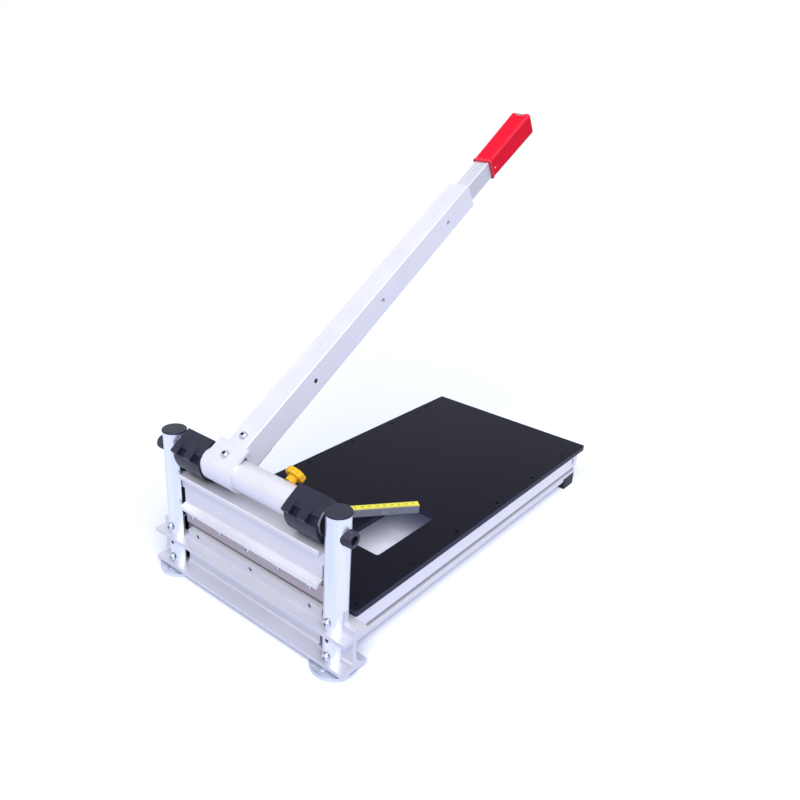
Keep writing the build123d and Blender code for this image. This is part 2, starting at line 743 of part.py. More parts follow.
def biarc(turn, span):
    """Two arcs that join two helix points and keep their directions."""
    start, start_way = helix_point(turn)
    end, end_way = helix_point(turn + span)
    chord = end - start
    ways = start_way + end_way
    spread = 2 * (1 - start_way.dot(end_way))
    lean = chord.dot(ways)
    reach = (sqrt(lean * lean + spread * chord.dot(chord)) - lean) / spread
    middle = (start + end + (start_way - end_way) * reach) * 0.5
    middle_way = (end - end_way * reach) - (start + start_way * reach)
    first = TangentArc(start, middle, tangent=start_way)
    return [first, TangentArc(middle, end, tangent=middle_way)]


def return_spring():
    """The right return spring: one wire wound on a helix of quarter turns."""
    span = 0.25
    arcs = [arc for i in range(round(SPRING_TURNS / span)) for arc in biarc(i * span, span)]
    path = Wire([edge for arc in arcs for edge in arc.edges()])
    start, way = helix_point(0)
    section = Plane(origin=start, z_dir=way) * RegularPolygon(SPRING_WIRE_R, SPRING_SIDES)
    pitch = (SPRING_TOP - SPRING_BOTTOM - 2 * SPRING_WIRE_R) / SPRING_TURNS
    print("least gap between the turns of a return spring:", round(pitch - 2 * SPRING_WIRE_R, 2))
    return sweep(section, path=path)


# Axle and cams

def axle_tube():
    tube = on_handle(ring((0, 0, -AXLE_HALF), (0, 0, AXLE_HALF), AXLE_R, AXLE_BORE_R))
    tube -= hole_along_n(CLAMP_BOLT_U[0], HANDLE_W, M6[0] + FIT)
    return tube - on_handle(rod((0, 0, KNOB_W), (2 * AXLE_R, 0, KNOB_W), M6[0] + FIT))


def axle_plug(side):
    """The plug in one end of the axle tube, with a flanged end, bored off centre for the pivot screw."""
    inner = side * PLUG_IN
    outer = side * PLUG_OUT
    flange = side * (PLUG_OUT + PLUG_FLANGE_T)
    plug = on_handle(rod((0, 0, inner), (0, 0, outer), PLUG_R))
    plug += on_handle(rod((0, 0, outer), (0, 0, flange), PLUG_FLANGE_R))
    plug -= rod((side * (PIVOT_REACH - SCREW_END), 0, PIVOT_Z), (flange, 0, PIVOT_Z), PIVOT_RUN_R)
    plug -= cam_key(side, FIT)
    if side < 0:
        return plug - hole_along_n(CLAMP_BOLT_U[0], HANDLE_W, M6[0] + FIT)
    return plug - on_handle(rod((KNOB_STUD_END - SCREW_END, 0, KNOB_W), (PLUG_R, 0, KNOB_W), M6[0] + FIT))


def axle_collars():
    """A bright ring round the flange of each plug."""
    collars = []
    for side in (1, -1):
        ends = (0, 0, side * PLUG_OUT), (0, 0, side * (PLUG_OUT + COLLAR_T))
        collars.append(on_handle(ring(*ends, COLLAR_R, COLLAR_BORE_R)))
    return group(collars)


def cam_key(side, play=0.0):
    """The key between a plug and its two cams, or with play the room for it."""
    w = sorted((side * (KEY_IN - play), side * (KEY_OUT + play)))
    half = KEY / 2 + play
    return on_handle(block((-half, half), (KEY_N - KEY - play, KEY_N + play), w))


def cam_keys():
    return group([cam_key(1), cam_key(-1)])


def cam_point(raised):
    """Point of the cam that touches the blade bar when the handle is raised by so many degrees."""
    depth = PIVOT_Z - BAR_TOP - CAM_GAP - CAM_BASE_R * radians(raised)
    turn = THETA + radians(raised)
    u = PIVOT_U - depth * sin(turn) + CAM_BASE_R * cos(turn)
    n = PIVOT_N - depth * cos(turn) - CAM_BASE_R * sin(turn)
    return (u, n)


def cam_face():
    step = (CAM_LOWER - CAM_RAISE) / CAM_STEPS
    involute = Spline(*[cam_point(CAM_RAISE + step * i) for i in range(CAM_STEPS + 1)])
    back = ThreePointArc(involute @ 1, CAM_HEEL, CAM_BACK)
    flat = ((CAM_FLAT_REAR, CAM_FLAT), (CAM_FLAT_FRONT, CAM_FLAT))
    top = Polyline(CAM_BACK, *flat, CAM_TOOTH_TOP, CAM_TOOTH_LOW, CAM_TOOTH_ROOT)
    front = ThreePointArc(CAM_TOOTH_ROOT, CAM_NOSE, CAM_FRONT)
    close = Line(CAM_FRONT, involute @ 0)
    return make_face(Wire([involute.edge(), back.edge(), *top.edges(), front.edge(), close.edge()]))


def cam(side, w):
    """One cam: a tooth on its left part, and a falling top with a notch on its right part."""
    body = along_w(cam_face() - Circle(PLUG_R + FIT), w)
    tooth_end = w[0] + CAM_TOOTH_SHARE * (w[1] - w[0])
    right = (tooth_end, w[1])
    body -= along_w(face_of(*CAM_NOTCH), right)
    body -= along_w(face_of(*CAM_STEP), right)
    return body - cam_key(side, FIT)


# Handle

def handle_clamp():
    inner = AXLE_R + CLAMP_PLAY
    outer = inner + CLAMP_T
    rounds = Circle(outer) - Circle(inner)
    rounds -= Pos(outer, 0) * Rectangle(2 * outer, 3 * outer)
    top = Pos(CLAMP_TOP_U / 2, inner + CLAMP_T / 2) * Rectangle(CLAMP_TOP_U, CLAMP_T)
    bottom = Pos(CLAMP_WIDE_U / 2, -inner - CLAMP_T / 2) * Rectangle(CLAMP_WIDE_U, CLAMP_T)
    strap = along_w(rounds + top + bottom, (CLAMP_IN, CLAMP_OUT))
    tongue_w = (HANDLE_W - CLAMP_TONGUE_W / 2, HANDLE_W + CLAMP_TONGUE_W / 2)
    strap += on_handle(block((0, CLAMP_BOTTOM_U), (-outer, -inner), tongue_w))
    for u in CLAMP_BOLT_U:
        strap -= hole_along_n(u, HANDLE_W, M6[0] + FIT)
    return strap


def clamp_levels():
    """Height of the head of each clamp bolt: on the strap, and on the handle tube."""
    strap_top = AXLE_R + CLAMP_PLAY + CLAMP_T
    return zip(CLAMP_BOLT_U, (strap_top, HANDLE_HEIGHT / 2))


def clamp_bolts():
    bottom = AXLE_R + CLAMP_PLAY + CLAMP_T + M6_NUT_H
    bolts = []
    for u, top in clamp_levels():
        seat = at((u, top, HANDLE_W), (0, 1, 0))
        bolts.append(on_handle(seat * domed_screw(M6, top + bottom + SCREW_END)))
    return group(bolts)


def clamp_nuts():
    low = AXLE_R + CLAMP_PLAY + CLAMP_T
    nuts = []
    for u in CLAMP_BOLT_U:
        nut = at((u, -low, HANDLE_W), (0, -1, 0)) * hex_prism(M6_NUT_AF, M6_NUT_H)
        nuts.append(on_handle(nut - rod((u, -low - M6_NUT_H, HANDLE_W), (u, -low, HANDLE_W), M6[0] + FIT)))
    return group(nuts)


def handle_section(width, height, corner):
    """A rounded box section, drawn with w across and n up, square to the handle."""
    across = Plane(origin=(0, 0, HANDLE_W), x_dir=(0, 0, -1), z_dir=(1, 0, 0))
    return across * RectangleRounded(width, height, corner)


def handle_box(u, width, height, corner):
    return Pos(u[0], 0, 0) * extrude(handle_section(width, height, corner), u[1] - u[0])


def handle_tube():
    run = (HANDLE_START, HANDLE_END)
    bore_w = HANDLE_WIDTH - 2 * HANDLE_WALL_W
    bore_n = HANDLE_HEIGHT - 2 * HANDLE_WALL_N
    tube = handle_box(run, HANDLE_WIDTH, HANDLE_HEIGHT, HANDLE_CORNER)
    tube -= handle_box(run, bore_w, bore_n, HANDLE_CORNER / 2)
    rib_low = EXT_HEIGHT / 2 + GUIDE_PLAY
    for w in (HANDLE_W - GUIDE_RIB_W, HANDLE_W + GUIDE_RIB_W):
        rib_w = (w - GUIDE_RIB / 2, w + GUIDE_RIB / 2)
        tube += block(run, (rib_low, bore_n / 2), rib_w)
        tube += block(run, (-bore_n / 2, -rib_low), rib_w)
    for u in HANDLE_HOLES_U:
        tube -= rod((u, 0, HANDLE_W), (u, 0, HANDLE_W + HANDLE_WIDTH), HANDLE_HOLE_R)
    return on_handle(tube) - hole_along_n(CLAMP_BOLT_U[1], HANDLE_W, M6[0] + FIT)


def extension_lock_screw():
    """A set screw in the first side hole; its tip presses on the inner tube."""
    tip = HANDLE_W + EXT_WIDTH / 2 + GUIDE_PLAY
    end = HANDLE_W + HANDLE_WIDTH / 2
    u = HANDLE_HOLES_U[0]
    socket = at((u, 0, end), (0, 0, -1)) * hex_prism(LOCK_SOCKET, LOCK_SOCKET_DEPTH)
    return on_handle(rod((u, 0, tip), (u, 0, end), LOCK_R) - socket)


def handle_extension():
    run = (EXT_START, EXT_END)
    tube = handle_box(run, EXT_WIDTH, EXT_HEIGHT, HANDLE_CORNER)
    tube -= handle_box(run, EXT_WIDTH - 2 * EXT_WALL, EXT_HEIGHT - 2 * EXT_WALL, HANDLE_CORNER / 2)
    top = EXT_HEIGHT / 2
    first = HANDLE_W - EXT_GROOVE_PITCH * (EXT_GROOVES - 1) / 2
    for i in range(EXT_GROOVES):
        w = first + i * EXT_GROOVE_PITCH
        tube -= block(run, (top - EXT_GROOVE_D, top), (w - EXT_GROOVE_W / 2, w + EXT_GROOVE_W / 2))
    return on_handle(tube)


def handle_grip():
    """A soft sleeve pulled over the tube's end: wider to its dished end, with a lip and an air hole."""
    wide, high = EXT_WIDTH + 2 * GRIP_WALL, EXT_HEIGHT + 2 * GRIP_WALL
    end_wide, end_high = EXT_WIDTH + 2 * GRIP_END_WALL, EXT_HEIGHT + 2 * GRIP_END_WALL
    first = Pos(GRIP_START, 0, 0) * handle_section(wide, high, GRIP_CORNER)
    last = Pos(GRIP_END, 0, 0) * handle_section(end_wide, end_high, GRIP_CORNER)
    sleeve = loft([first.face(), last.face()])
    sleeve = fillet(sleeve.edges().group_by(Axis.X)[-1], GRIP_END_ROUND)
    lip_out = 2 * GRIP_LIP_OUT
    lip = handle_box((GRIP_START, GRIP_START + GRIP_LIP), wide + lip_out, high + lip_out, GRIP_CORNER)
    sleeve += fillet(lip.edges().group_by(Axis.X)[-1], GRIP_LIP_OUT / 2)
    sleeve -= handle_box((GRIP_START, EXT_END), EXT_WIDTH, EXT_HEIGHT, HANDLE_CORNER)
    hole = Pos(GRIP_HOLE_U, GRIP_HOLE_N, HANDLE_W) * rod((0, 0, EXT_WIDTH / 2), (0, 0, wide), GRIP_HOLE_R)
    sleeve -= hole
    return on_handle(sleeve - Pos(GRIP_END + GRIP_DISH_R - GRIP_DISH, 0, HANDLE_W) * Sphere(GRIP_DISH_R))


# Knob

def axle_knob():
    """A fluted knob on a hub, pointing the same way as the handle."""
    head = Cylinder(KNOB_R, KNOB_T, align=(Align.CENTER, Align.CENTER, Align.MIN))
    head = fillet(head.edges().filter_by(GeomType.CIRCLE), KNOB_EDGE)
    for i in range(KNOB_FLUTES):
        turn = 2 * pi * i / KNOB_FLUTES
        reach = KNOB_R + KNOB_FLUTE_R - KNOB_FLUTE_IN
        head -= Pos(reach * cos(turn), reach * sin(turn), KNOB_T / 2) * Cylinder(KNOB_FLUTE_R, KNOB_T)
    hub = rod((0, 0, KNOB_HUB_U - KNOB_HEAD_U), (0, 0, KNOB_EDGE), KNOB_HUB_R)
    knob = head + hub - rod((0, 0, KNOB_HUB_U - KNOB_HEAD_U), (0, 0, KNOB_T / 2), M6[0])
    return on_handle(at((KNOB_HEAD_U, 0, KNOB_W), (1, 0, 0)) * knob)


def axle_knob_stud():
    return on_handle(rod((KNOB_STUD_END, 0, KNOB_W), (KNOB_HEAD_U + KNOB_T / 2, 0, KNOB_W), M6[0]))


def sides(name, make):
    """Two nodes, the right piece and its mirror image."""
    right, left = pair(make())
    return {name + "_right": right, name + "_left": left}


nodes = {
    "base_beam": base_beam(),
    "anvil_strip": anvil_strip(),
    "anvil_screws": anvil_screws(),
    "post_right": post(PIVOT_SEAT_RIGHT),
    "post_left": post(PIVOT_SEAT_LEFT).mirror(Plane.YZ),
    **sides("foot_disc", foot_disc),
    **sides("post_cap", post_cap),
    "post_screws": post_screws(),
    "pivot_screw_right": pivot_screw(PIVOT_SEAT_RIGHT),
    "pivot_screw_left": pivot_screw(PIVOT_SEAT_LEFT).mirror(Plane.YZ),
    "table_board": table_board(),
    "table_screws": table_screws(),
    **sides("rail", rail),
    "joining_plates": joining_plates(),
    "joining_screws": joining_screws(),
    **sides("rear_foot", rear_foot),
    "rear_foot_screws": rear_foot_screws(),
    "fence_bar": fence_bar(),
    "fence_ruler": fence_ruler(),
    "fence_pivot_bolt": fence_pivot_bolt(),
    "fence_pivot_nut": fence_pivot_nut(),
    "blade_bar": blade_bar(),
    "blade": blade(),
    "blade_screws": blade_screws(),
    "spring_seats": spring_seats(),
    "spring_caps": spring_caps(),
    **sides("return_spring", return_spring),
    "axle_tube": axle_tube(),
    "axle_plug_right": axle_plug(1),
    "axle_plug_left": axle_plug(-1),
    "axle_collars": axle_collars(),
    "cam_keys": cam_keys(),
    "cam_right_inner": cam(1, (CAM_IN, CAM_SPLIT)),
    "cam_right_outer": cam(1, (CAM_SPLIT, CAM_OUT)),
    "cam_left_inner": cam(-1, (-CAM_SPLIT, -CAM_IN)),
    "cam_left_outer": cam(-1, (-CAM_OUT, -CAM_SPLIT)),
    "handle_clamp": handle_clamp(),
    "clamp_bolts": clamp_bolts(),
    "clamp_nuts": clamp_nuts(),
    "handle_tube": handle_tube(),
    "extension_lock_screw": extension_lock_screw(),
    "handle_extension": handle_extension(),
    "handle_grip": handle_grip(),
    "axle_knob": axle_knob(),
    "axle_knob_stud": axle_knob_stud(),
}

to_origin = Pos(0, -FOOT_HOLE_Y, 0)
for name, shape in nodes.items():
    export_step(group([to_origin * solid for solid in shape.solids()]), f"parts/{name}.step")
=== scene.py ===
import json
import math
from functools import cache, partial

import bmesh
import bpy
from bpy.props import FloatProperty, FloatVectorProperty, IntProperty, PointerProperty
from mathutils import Matrix, Vector


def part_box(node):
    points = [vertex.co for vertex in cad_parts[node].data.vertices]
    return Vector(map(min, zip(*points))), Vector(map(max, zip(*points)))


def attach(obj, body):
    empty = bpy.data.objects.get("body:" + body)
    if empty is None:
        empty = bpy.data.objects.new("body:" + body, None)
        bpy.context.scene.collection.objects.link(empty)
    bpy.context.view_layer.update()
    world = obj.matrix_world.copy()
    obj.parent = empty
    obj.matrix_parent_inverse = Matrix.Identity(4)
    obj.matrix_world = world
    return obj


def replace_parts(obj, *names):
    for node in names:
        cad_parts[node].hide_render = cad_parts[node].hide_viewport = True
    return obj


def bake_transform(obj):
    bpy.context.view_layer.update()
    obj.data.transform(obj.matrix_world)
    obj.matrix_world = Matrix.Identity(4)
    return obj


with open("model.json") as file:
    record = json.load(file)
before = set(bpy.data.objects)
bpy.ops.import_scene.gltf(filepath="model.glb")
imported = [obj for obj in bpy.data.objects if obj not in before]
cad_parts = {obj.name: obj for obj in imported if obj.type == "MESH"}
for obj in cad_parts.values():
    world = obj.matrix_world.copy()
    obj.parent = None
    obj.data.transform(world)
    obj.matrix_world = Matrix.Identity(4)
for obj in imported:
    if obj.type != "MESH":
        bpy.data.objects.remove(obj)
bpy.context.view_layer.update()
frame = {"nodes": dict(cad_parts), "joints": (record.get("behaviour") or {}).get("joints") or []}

bl_info = {
    "name": "Laminate flooring cutter",
    "version": (1, 0, 0),
    "blender": (4, 5, 0),
    "location": "3D View > Sidebar > Flooring cutter",
    "description": "Finishes and fine pieces of a lever cutter for laminate planks, with its studio",
    "category": "Object",
}

MM = 0.001

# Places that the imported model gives
JOINTS = {joint["name"]: joint for joint in frame["joints"]}
POST_X = sum(corner.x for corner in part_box("post_right")) / 2
POST_Y = sum(corner.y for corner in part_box("post_right")) / 2
POST_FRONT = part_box("post_right")[0].y
PIVOT_Z = JOINTS["handle_swing"]["pos_m"][2]
BOARD_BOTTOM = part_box("table_board")[0].z
BOARD_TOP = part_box("table_board")[1].z
ANVIL_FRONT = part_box("anvil_strip")[0].y
BLADE_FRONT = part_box("blade")[0].y
TAPE_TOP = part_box("fence_ruler")[1].z
SPRING_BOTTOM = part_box("spring_seats")[1].z
SPRING_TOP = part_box("spring_caps")[0].z
ALONG = Vector(JOINTS["extension_slide"]["axis"]).normalized()
HANDLE_TILT = math.atan2(ALONG.z, ALONG.y)
AXLE_CENTRE = sum(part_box("axle_tube"), Vector()) / 2

# The handle's own frame: x along it from the axle, y square to it and z along the axle
HANDLE = Matrix.Translation((0.0, AXLE_CENTRE.y, AXLE_CENTRE.z)) @ Matrix((
    (0.0, 0.0, 1.0, 0.0),
    (ALONG.y, -ALONG.z, 0.0, 0.0),
    (ALONG.z, ALONG.y, 0.0, 0.0),
    (0.0, 0.0, 0.0, 1.0),
))

# The fence's own frame: x along its bar from the pivot bolt
FENCE_TURN = math.radians(51.5)
FENCE = Matrix.Translation(JOINTS["fence_swing"]["pos_m"]) @ Matrix.Rotation(FENCE_TURN, 4, "Z")

# Screws, as shank radius, head radius and head height, and the nuts of the bolts
M4 = (2.0 * MM, 3.8 * MM, 2.0 * MM)
M5 = (2.5 * MM, 3.6 * MM, 3.0 * MM)
M6 = (3.0 * MM, 5.2 * MM, 4.0 * MM)
NUT_FLATS = 10.0 * MM
NUT_HEIGHT = 5.0 * MM
BOLT_END = 1.0 * MM

# Where the screws sit, and their lengths
POST_SCREW_Z = (20.5 * MM, 66.0 * MM)
ANVIL_SCREW_X = (-98.0 * MM, 0.0, 98.0 * MM)
ANVIL_SCREW_Z = 61.0 * MM
ANVIL_SCREW_LENGTH = 7.9 * MM
BLADE_SCREW_X = (-101.0 * MM, -50.5 * MM, 0.0, 50.5 * MM, 101.0 * MM)
BLADE_SCREW_Z = 91.5 * MM
BLADE_SCREW_LENGTH = 9.0 * MM
TABLE_SCREW_X = 136.0 * MM
TABLE_SCREW_Y = [52.0 * MM + row * (100.0 * MM) for row in range(6)]
TABLE_SCREW_LENGTH = 14.8 * MM

# The handle's place along the axle, its clamp's bolts, as places along it and heights of their seats, and the
# fence bolt's seat above its pivot
HANDLE_W = -40.0 * MM
CLAMP_TOP = 20.53 * MM
CLAMP_BOLTS = ((7.0 * MM, CLAMP_TOP), (38.0 * MM, 17.5 * MM))
FENCE_BOLT_SEAT = 6.2 * MM

# Turns that bring an extrusion's length onto the pattern's Y axis, and the spacing and length of its lines
ACROSS = (0.0, 0.0, math.pi / 2)
REARWARD = (0.0, 0.0, 0.0)
UPWARD = (-HANDLE_TILT, 0.0, 0.0)
LINES = 2.5 * MM
LINE_RUN = 200 * MM

# Where metal has stayed dull, as limits across, limits in height and brightness: the rails' outer recess, and
# the extension below its ridges, from the axle's height after the turn
RAIL_BAND = ((-200.0 * MM, 200.0 * MM), (27.5 * MM, 36.0 * MM), 0.42)
AXLE_LEVEL = AXLE_CENTRE.z * math.cos(HANDLE_TILT) - AXLE_CENTRE.y * math.sin(HANDLE_TILT)
EXTENSION_SIDES = (HANDLE_W - 15.0 * MM, HANDLE_W + 15.0 * MM)
BELOW_RIDGES = (EXTENSION_SIDES, (AXLE_LEVEL - 15.0 * MM, AXLE_LEVEL + 12.3 * MM), 0.77)

# Radius within which a post is its dark bore, and height up to which the blade is bevelled
POST_BORE = 12.6 * MM
BEVEL_TOP = 79.0 * MM

# The grip, from its lip to its end along the handle, half the sizes of its tube, its air hole's place, and
# how much of its lip is scalloped
GRIP_START = 580.5 * MM
GRIP_END = 701.5 * MM
GRIP_TUBE_W = 12.0 * MM
GRIP_TUBE_N = 12.5 * MM
GRIP_HOLE = (591.0 * MM, -2.5 * MM)
GRIP_SCALLOP = 2.0 * MM

# The dent in the grip: half its width, half its length, its middle's distance from the end, and the share of
# its depth from which it is scuffed
DENT_WIDTH = 11.0 * MM
DENT_LENGTH = 4.4 * MM
DENT_BACK = 3.4 * MM
DENT_SCUFF = 0.4

# Ways that screws face
FRONT = (0.0, -1.0, 0.0)
UP = (0.0, 0.0, 1.0)

# Edges in a loop round a piece
ROUND_SIDES = 24
KNURL_SIDES = 96
GRIP_SIDES = 96
WIRE_SIDES = 10

# How near points are merged, and the angle from which an edge looks sharp
MERGE = 0.001 * MM
SHARP = math.radians(32)

# The studio: half the floor's width, the strengths of the floor's haze and the room's light, and the lamps,
# as strength, width in degrees and direction
FLOOR_HALF = 6.0
HAZE = 0.08
ROOM_LIGHT = 0.38
SOFT_BOX = (3.45, 45, (0.45, -0.45, 0.77))
SIDE_PANEL = (0.25, 90, (0.95, -0.22, 0.22))

# The camera, as fitted to the photograph
CAMERA_PLACE = (0.56806, -0.46397, 0.59913)
CAMERA_SWING = math.radians(36.99)
CAMERA_DROP = math.radians(23.0)
CAMERA_ROLL = math.radians(3.66)
CAMERA_LENS = 33.34


def linear(code):
    """Linear red, green and blue of an sRGB hex colour."""
    parts = [int(code[i:i + 2], 16) / 255 for i in (0, 2, 4)]
    return tuple(p / 12.92 if p <= 0.04045 else ((p + 0.055) / 1.055) ** 2.4 for p in parts)


def colour(name, code, description):
    """A colour that a user may change."""
    return FloatVectorProperty(name=name, description=description, subtype="COLOR", size=3,
                               min=0.0, max=1.0, default=linear(code))


def length(name, value, description):
    """A size in millimetres that a user may change."""
    return FloatProperty(name=name, description=description, unit="LENGTH", min=0.0, precision=5,
                         default=value * MM)


class CutterColours(bpy.types.PropertyGroup):
    """Colours of the cutter's finishes"""
    aluminium: colour("Aluminium", "e8e6e8", "Mill finish of the handle, the axle and the rails")
    dull: colour("Dull aluminium", "e4e2e4", "Duller mill finish of the blade bar")
    beam: colour("Beam aluminium", "dad9de", "Dullest mill finish, of the beam and the anvil")
    tube: colour("Zinc tube", "ecedf2", "Bright zinc of the posts")
    plate: colour("Zinc plate", "d6dbe4", "Duller zinc of the foot discs and plates")
    screw: colour("Zinc screw", "c6cbd6", "Polished zinc of the screws and bolts")
    dirt: colour("Recess dirt", "141418", "Oil and dust in the screws' recesses")
    bore: colour("Tube bore", "2c2d33", "Bare steel inside the posts")
    turned: colour("Turned steel", "85888f", "Collars on the axle's ends")
    tool_steel: colour("Tool steel", "aa9fa4", "Ground steel of the blade")
    oxide: colour("Black oxide", "363644", "Blackened steel of the pivot screws")
    nylon: colour("Black nylon", "1f2032", "Moulded cams and caps")
    board: colour("Board", "141420", "Laminate of the table")
    bar: colour("Anodised bar", "8a8c96", "Black anodising of the fence bar")
    tape: colour("Tape", "fbee4c", "Yellow ruler tape")
    ink: colour("Ink", "2a2815", "Print on the ruler tape")
    vinyl: colour("Vinyl", "ff2036", "Dipped grip of the handle")
    scuff: colour("Scuffed vinyl", "a8908c", "Dent at the grip's end")
    orange: colour("Orange plastic", "ffc22a", "Knob on the axle")
    rubber: colour("Rubber", "1c1a22", "Rear feet")
    floor: colour("Floor", "ffffff", "Studio floor")
    bounce: colour("Floor light", "9ea4c0", "Floor as it lights the cutter from below")
    shade: colour("Studio shade", "c8d1f8", "Cool light of the room")
    haze: colour("Floor haze", "b0beff", "Cool light that fills the shadow on the floor")
    sun: colour("Soft box", "f2f5ff", "Light of the soft box in front")
    side: colour("Side light", "ccd6ff", "Cool light of the panel on the right")


class CutterSizes(bpy.types.PropertyGroup):
    """Sizes of the cutter's fine pieces"""
    edge: length("Edge", 0.35, "Rounding that the eye sees along sharp edges")
    cross: length("Cross recess", 2.3, "Reach of a cross recess from the screw's middle")
    recess: length("Recess depth", 1.8, "Depth of the recess in a small screw")
    socket: length("Hexagon socket", 4.0, "Size across the flats in a domed bolt")
    small_socket: length("Small socket", 3.0, "Size across the flats in a blade screw")
    pivot_socket: length("Pivot socket", 10.0, "Size across the flats in a pivot screw")
    pivot_socket_depth: length("Pivot socket depth", 7.0, "Depth of a pivot screw's socket")
    pivot_head_radius: length("Pivot head radius", 9.0, "Radius of a pivot screw's head")
    pivot_head_height: length("Pivot head height", 12.0, "Height of a pivot screw's head")
    knurl: length("Knurl", 0.35, "Depth of the straight knurl round a pivot screw's head")
    grip_wall: length("Grip wall", 2.3, "Thickness of the grip behind its lip")
    grip_end_wall: length("Grip end wall", 3.8, "Thickness of the grip at its end")
    grip_lip: length("Grip lip", 0.9, "How far the grip's lip stands out")
    grip_corner: length("Grip corner", 3.5, "Radius of the grip's long edges")
    grip_dent: length("Grip dent", 1.2, "Depth of the dent at the grip's end")
    grip_wave: length("Grip wave", 0.9, "Depth of the scallops at the grip's mouth")
    grip_wave_pitch: length("Grip wave pitch", 4.6, "Spacing of those scallops, as the tube's grooves")
    grip_hole: length("Air hole", 2.0, "Radius of the air hole in the grip")
    coil_radius: length("Coil radius", 9.6, "Radius of a return spring to the middle of its wire")
    wire_radius: length("Wire radius", 0.9, "Radius of a return spring's wire")
    coil_turns: IntProperty(name="Coil turns", description="Turns of a return spring", min=4, default=10)
    tick: length("Millimetre tick", 1.9, "Length of a millimetre mark on the tape")
    tick_half: length("Half tick", 2.8, "Length of a five millimetre mark on the tape")
    tick_whole: length("Centimetre tick", 4.2, "Length of a centimetre mark on the tape")
    digit: length("Digit", 4.0, "Height of the numbers on the tape")


def add_node(tree, kind, inputs=None, stops=(), **options):
    """Adds a shader node with its options, a ramp's stops and its inputs, and returns its outputs."""
    made = tree.nodes.new("ShaderNode" + kind)
    for option, value in options.items():
        setattr(made, option, value)
    for number, (position, tone) in enumerate(stops):
        made.color_ramp.elements[number].position = position
        made.color_ramp.elements[number].color = tone
    for socket, value in (inputs or {}).items():
        if isinstance(value, bpy.types.NodeSocket):
            tree.links.new(value, made.inputs[socket])
        else:
            made.inputs[socket].default_value = value
    return made.outputs


def emptied(made):
    """A new material or world without its nodes, and the function that adds nodes to it."""
    made.use_nodes = True
    made.node_tree.nodes.clear()
    return made, partial(add_node, made.node_tree)


def surface(name):
    """A new material, and the function that adds nodes to it."""
    return emptied(bpy.data.materials.new(name))


def coat(add, paint, rough, bump, others):
    """Adds a material's shader and its output.

    rough has a pattern, two values of it and the roughness at each. bump has what the bumps take in, and
    others what else the shader takes in."""
    names = ("Value", "From Min", "From Max", "To Min", "To Max")
    dull = add("MapRange", dict(zip(names, rough)))["Result"]
    normal = add("Bump", bump)["Normal"]
    shader = add("BsdfPrincipled", {"Base Color": paint, "Roughness": dull, "Normal": normal, **others})
    add("OutputMaterial", {"Surface": shader["BSDF"]})


def rgba(value):
    """A colour property with full alpha, as a shader's socket takes it."""
    return (*value, 1.0)


def tinted(value, factor):
    """A colour made lighter or darker, with full alpha."""
    return (*(min(1.0, part * factor) for part in value), 1.0)


def colours():
    """The colours of this scene."""
    return bpy.context.scene.cutter_colours


def sizes():
    """The sizes of this scene."""
    return bpy.context.scene.cutter_sizes


def between(add, value, low, high):
    """One where a value lies between two limits, and nought elsewhere."""
    above = add("Math", {0: value, 1: low}, operation="GREATER_THAN")["Value"]
    below = add("Math", {0: value, 1: high}, operation="LESS_THAN")["Value"]
    return add("Math", {0: above, 1: below}, operation="MULTIPLY")["Value"]


def mill_aluminium(name, base, turn, band=None):
    """Extruded aluminium as it leaves the die: a soft grey metal with fine straight lines along its length.

    turn brings the length onto the pattern's Y axis. band is where the metal has stayed dull: its limits
    across and in height after the turn, and how bright it is."""
    made, add = surface(name)
    place = add("TexCoord")["Object"]
    lined = add("Mapping", {"Vector": place, "Rotation": turn})["Vector"]
    # Real die lines are about 0.1 mm apart, so these are drawn coarser to show.
    lines = add("Mapping", {"Vector": lined, "Scale": (1 / LINES, 1 / LINE_RUN, 1 / LINES)})["Vector"]
    grain = add("TexNoise", {"Vector": lines, "Scale": 1.0, "Detail": 1.0})["Fac"]
    # Handling leaves faint clouds some 40 mm wide.
    cloud = add("TexNoise", {"Vector": place, "Scale": 1 / (40 * MM), "Detail": 2.0})["Fac"]
    both = add("Math", {0: grain, 1: cloud}, operation="ADD")["Value"]
    half = add("Math", {0: both, 1: 0.5}, operation="MULTIPLY")["Value"]
    tones = ((0.36, tinted(base, 0.96)), (0.64, tinted(base, 1.02)))
    paint = add("ValToRGB", {"Fac": half}, tones)["Color"]
    if band:
        across, height, bright = band
        parts = add("SeparateXYZ", {"Vector": lined})
        wide = between(add, parts["X"], *across)
        high = between(add, parts["Z"], *height)
        inside = add("Math", {0: wide, 1: high}, operation="MULTIPLY")["Value"]
        dull = tinted(base, bright)
        paint = add("Mix", {"Factor": inside, 6: paint, 7: dull}, data_type="RGBA")[2]
    bump = {"Strength": 0.05, "Distance": 0.05 * MM, "Height": grain}
    coat(add, paint, (both, 0.7, 1.3, 0.36, 0.5), bump, {"Metallic": 0.4})
    return made


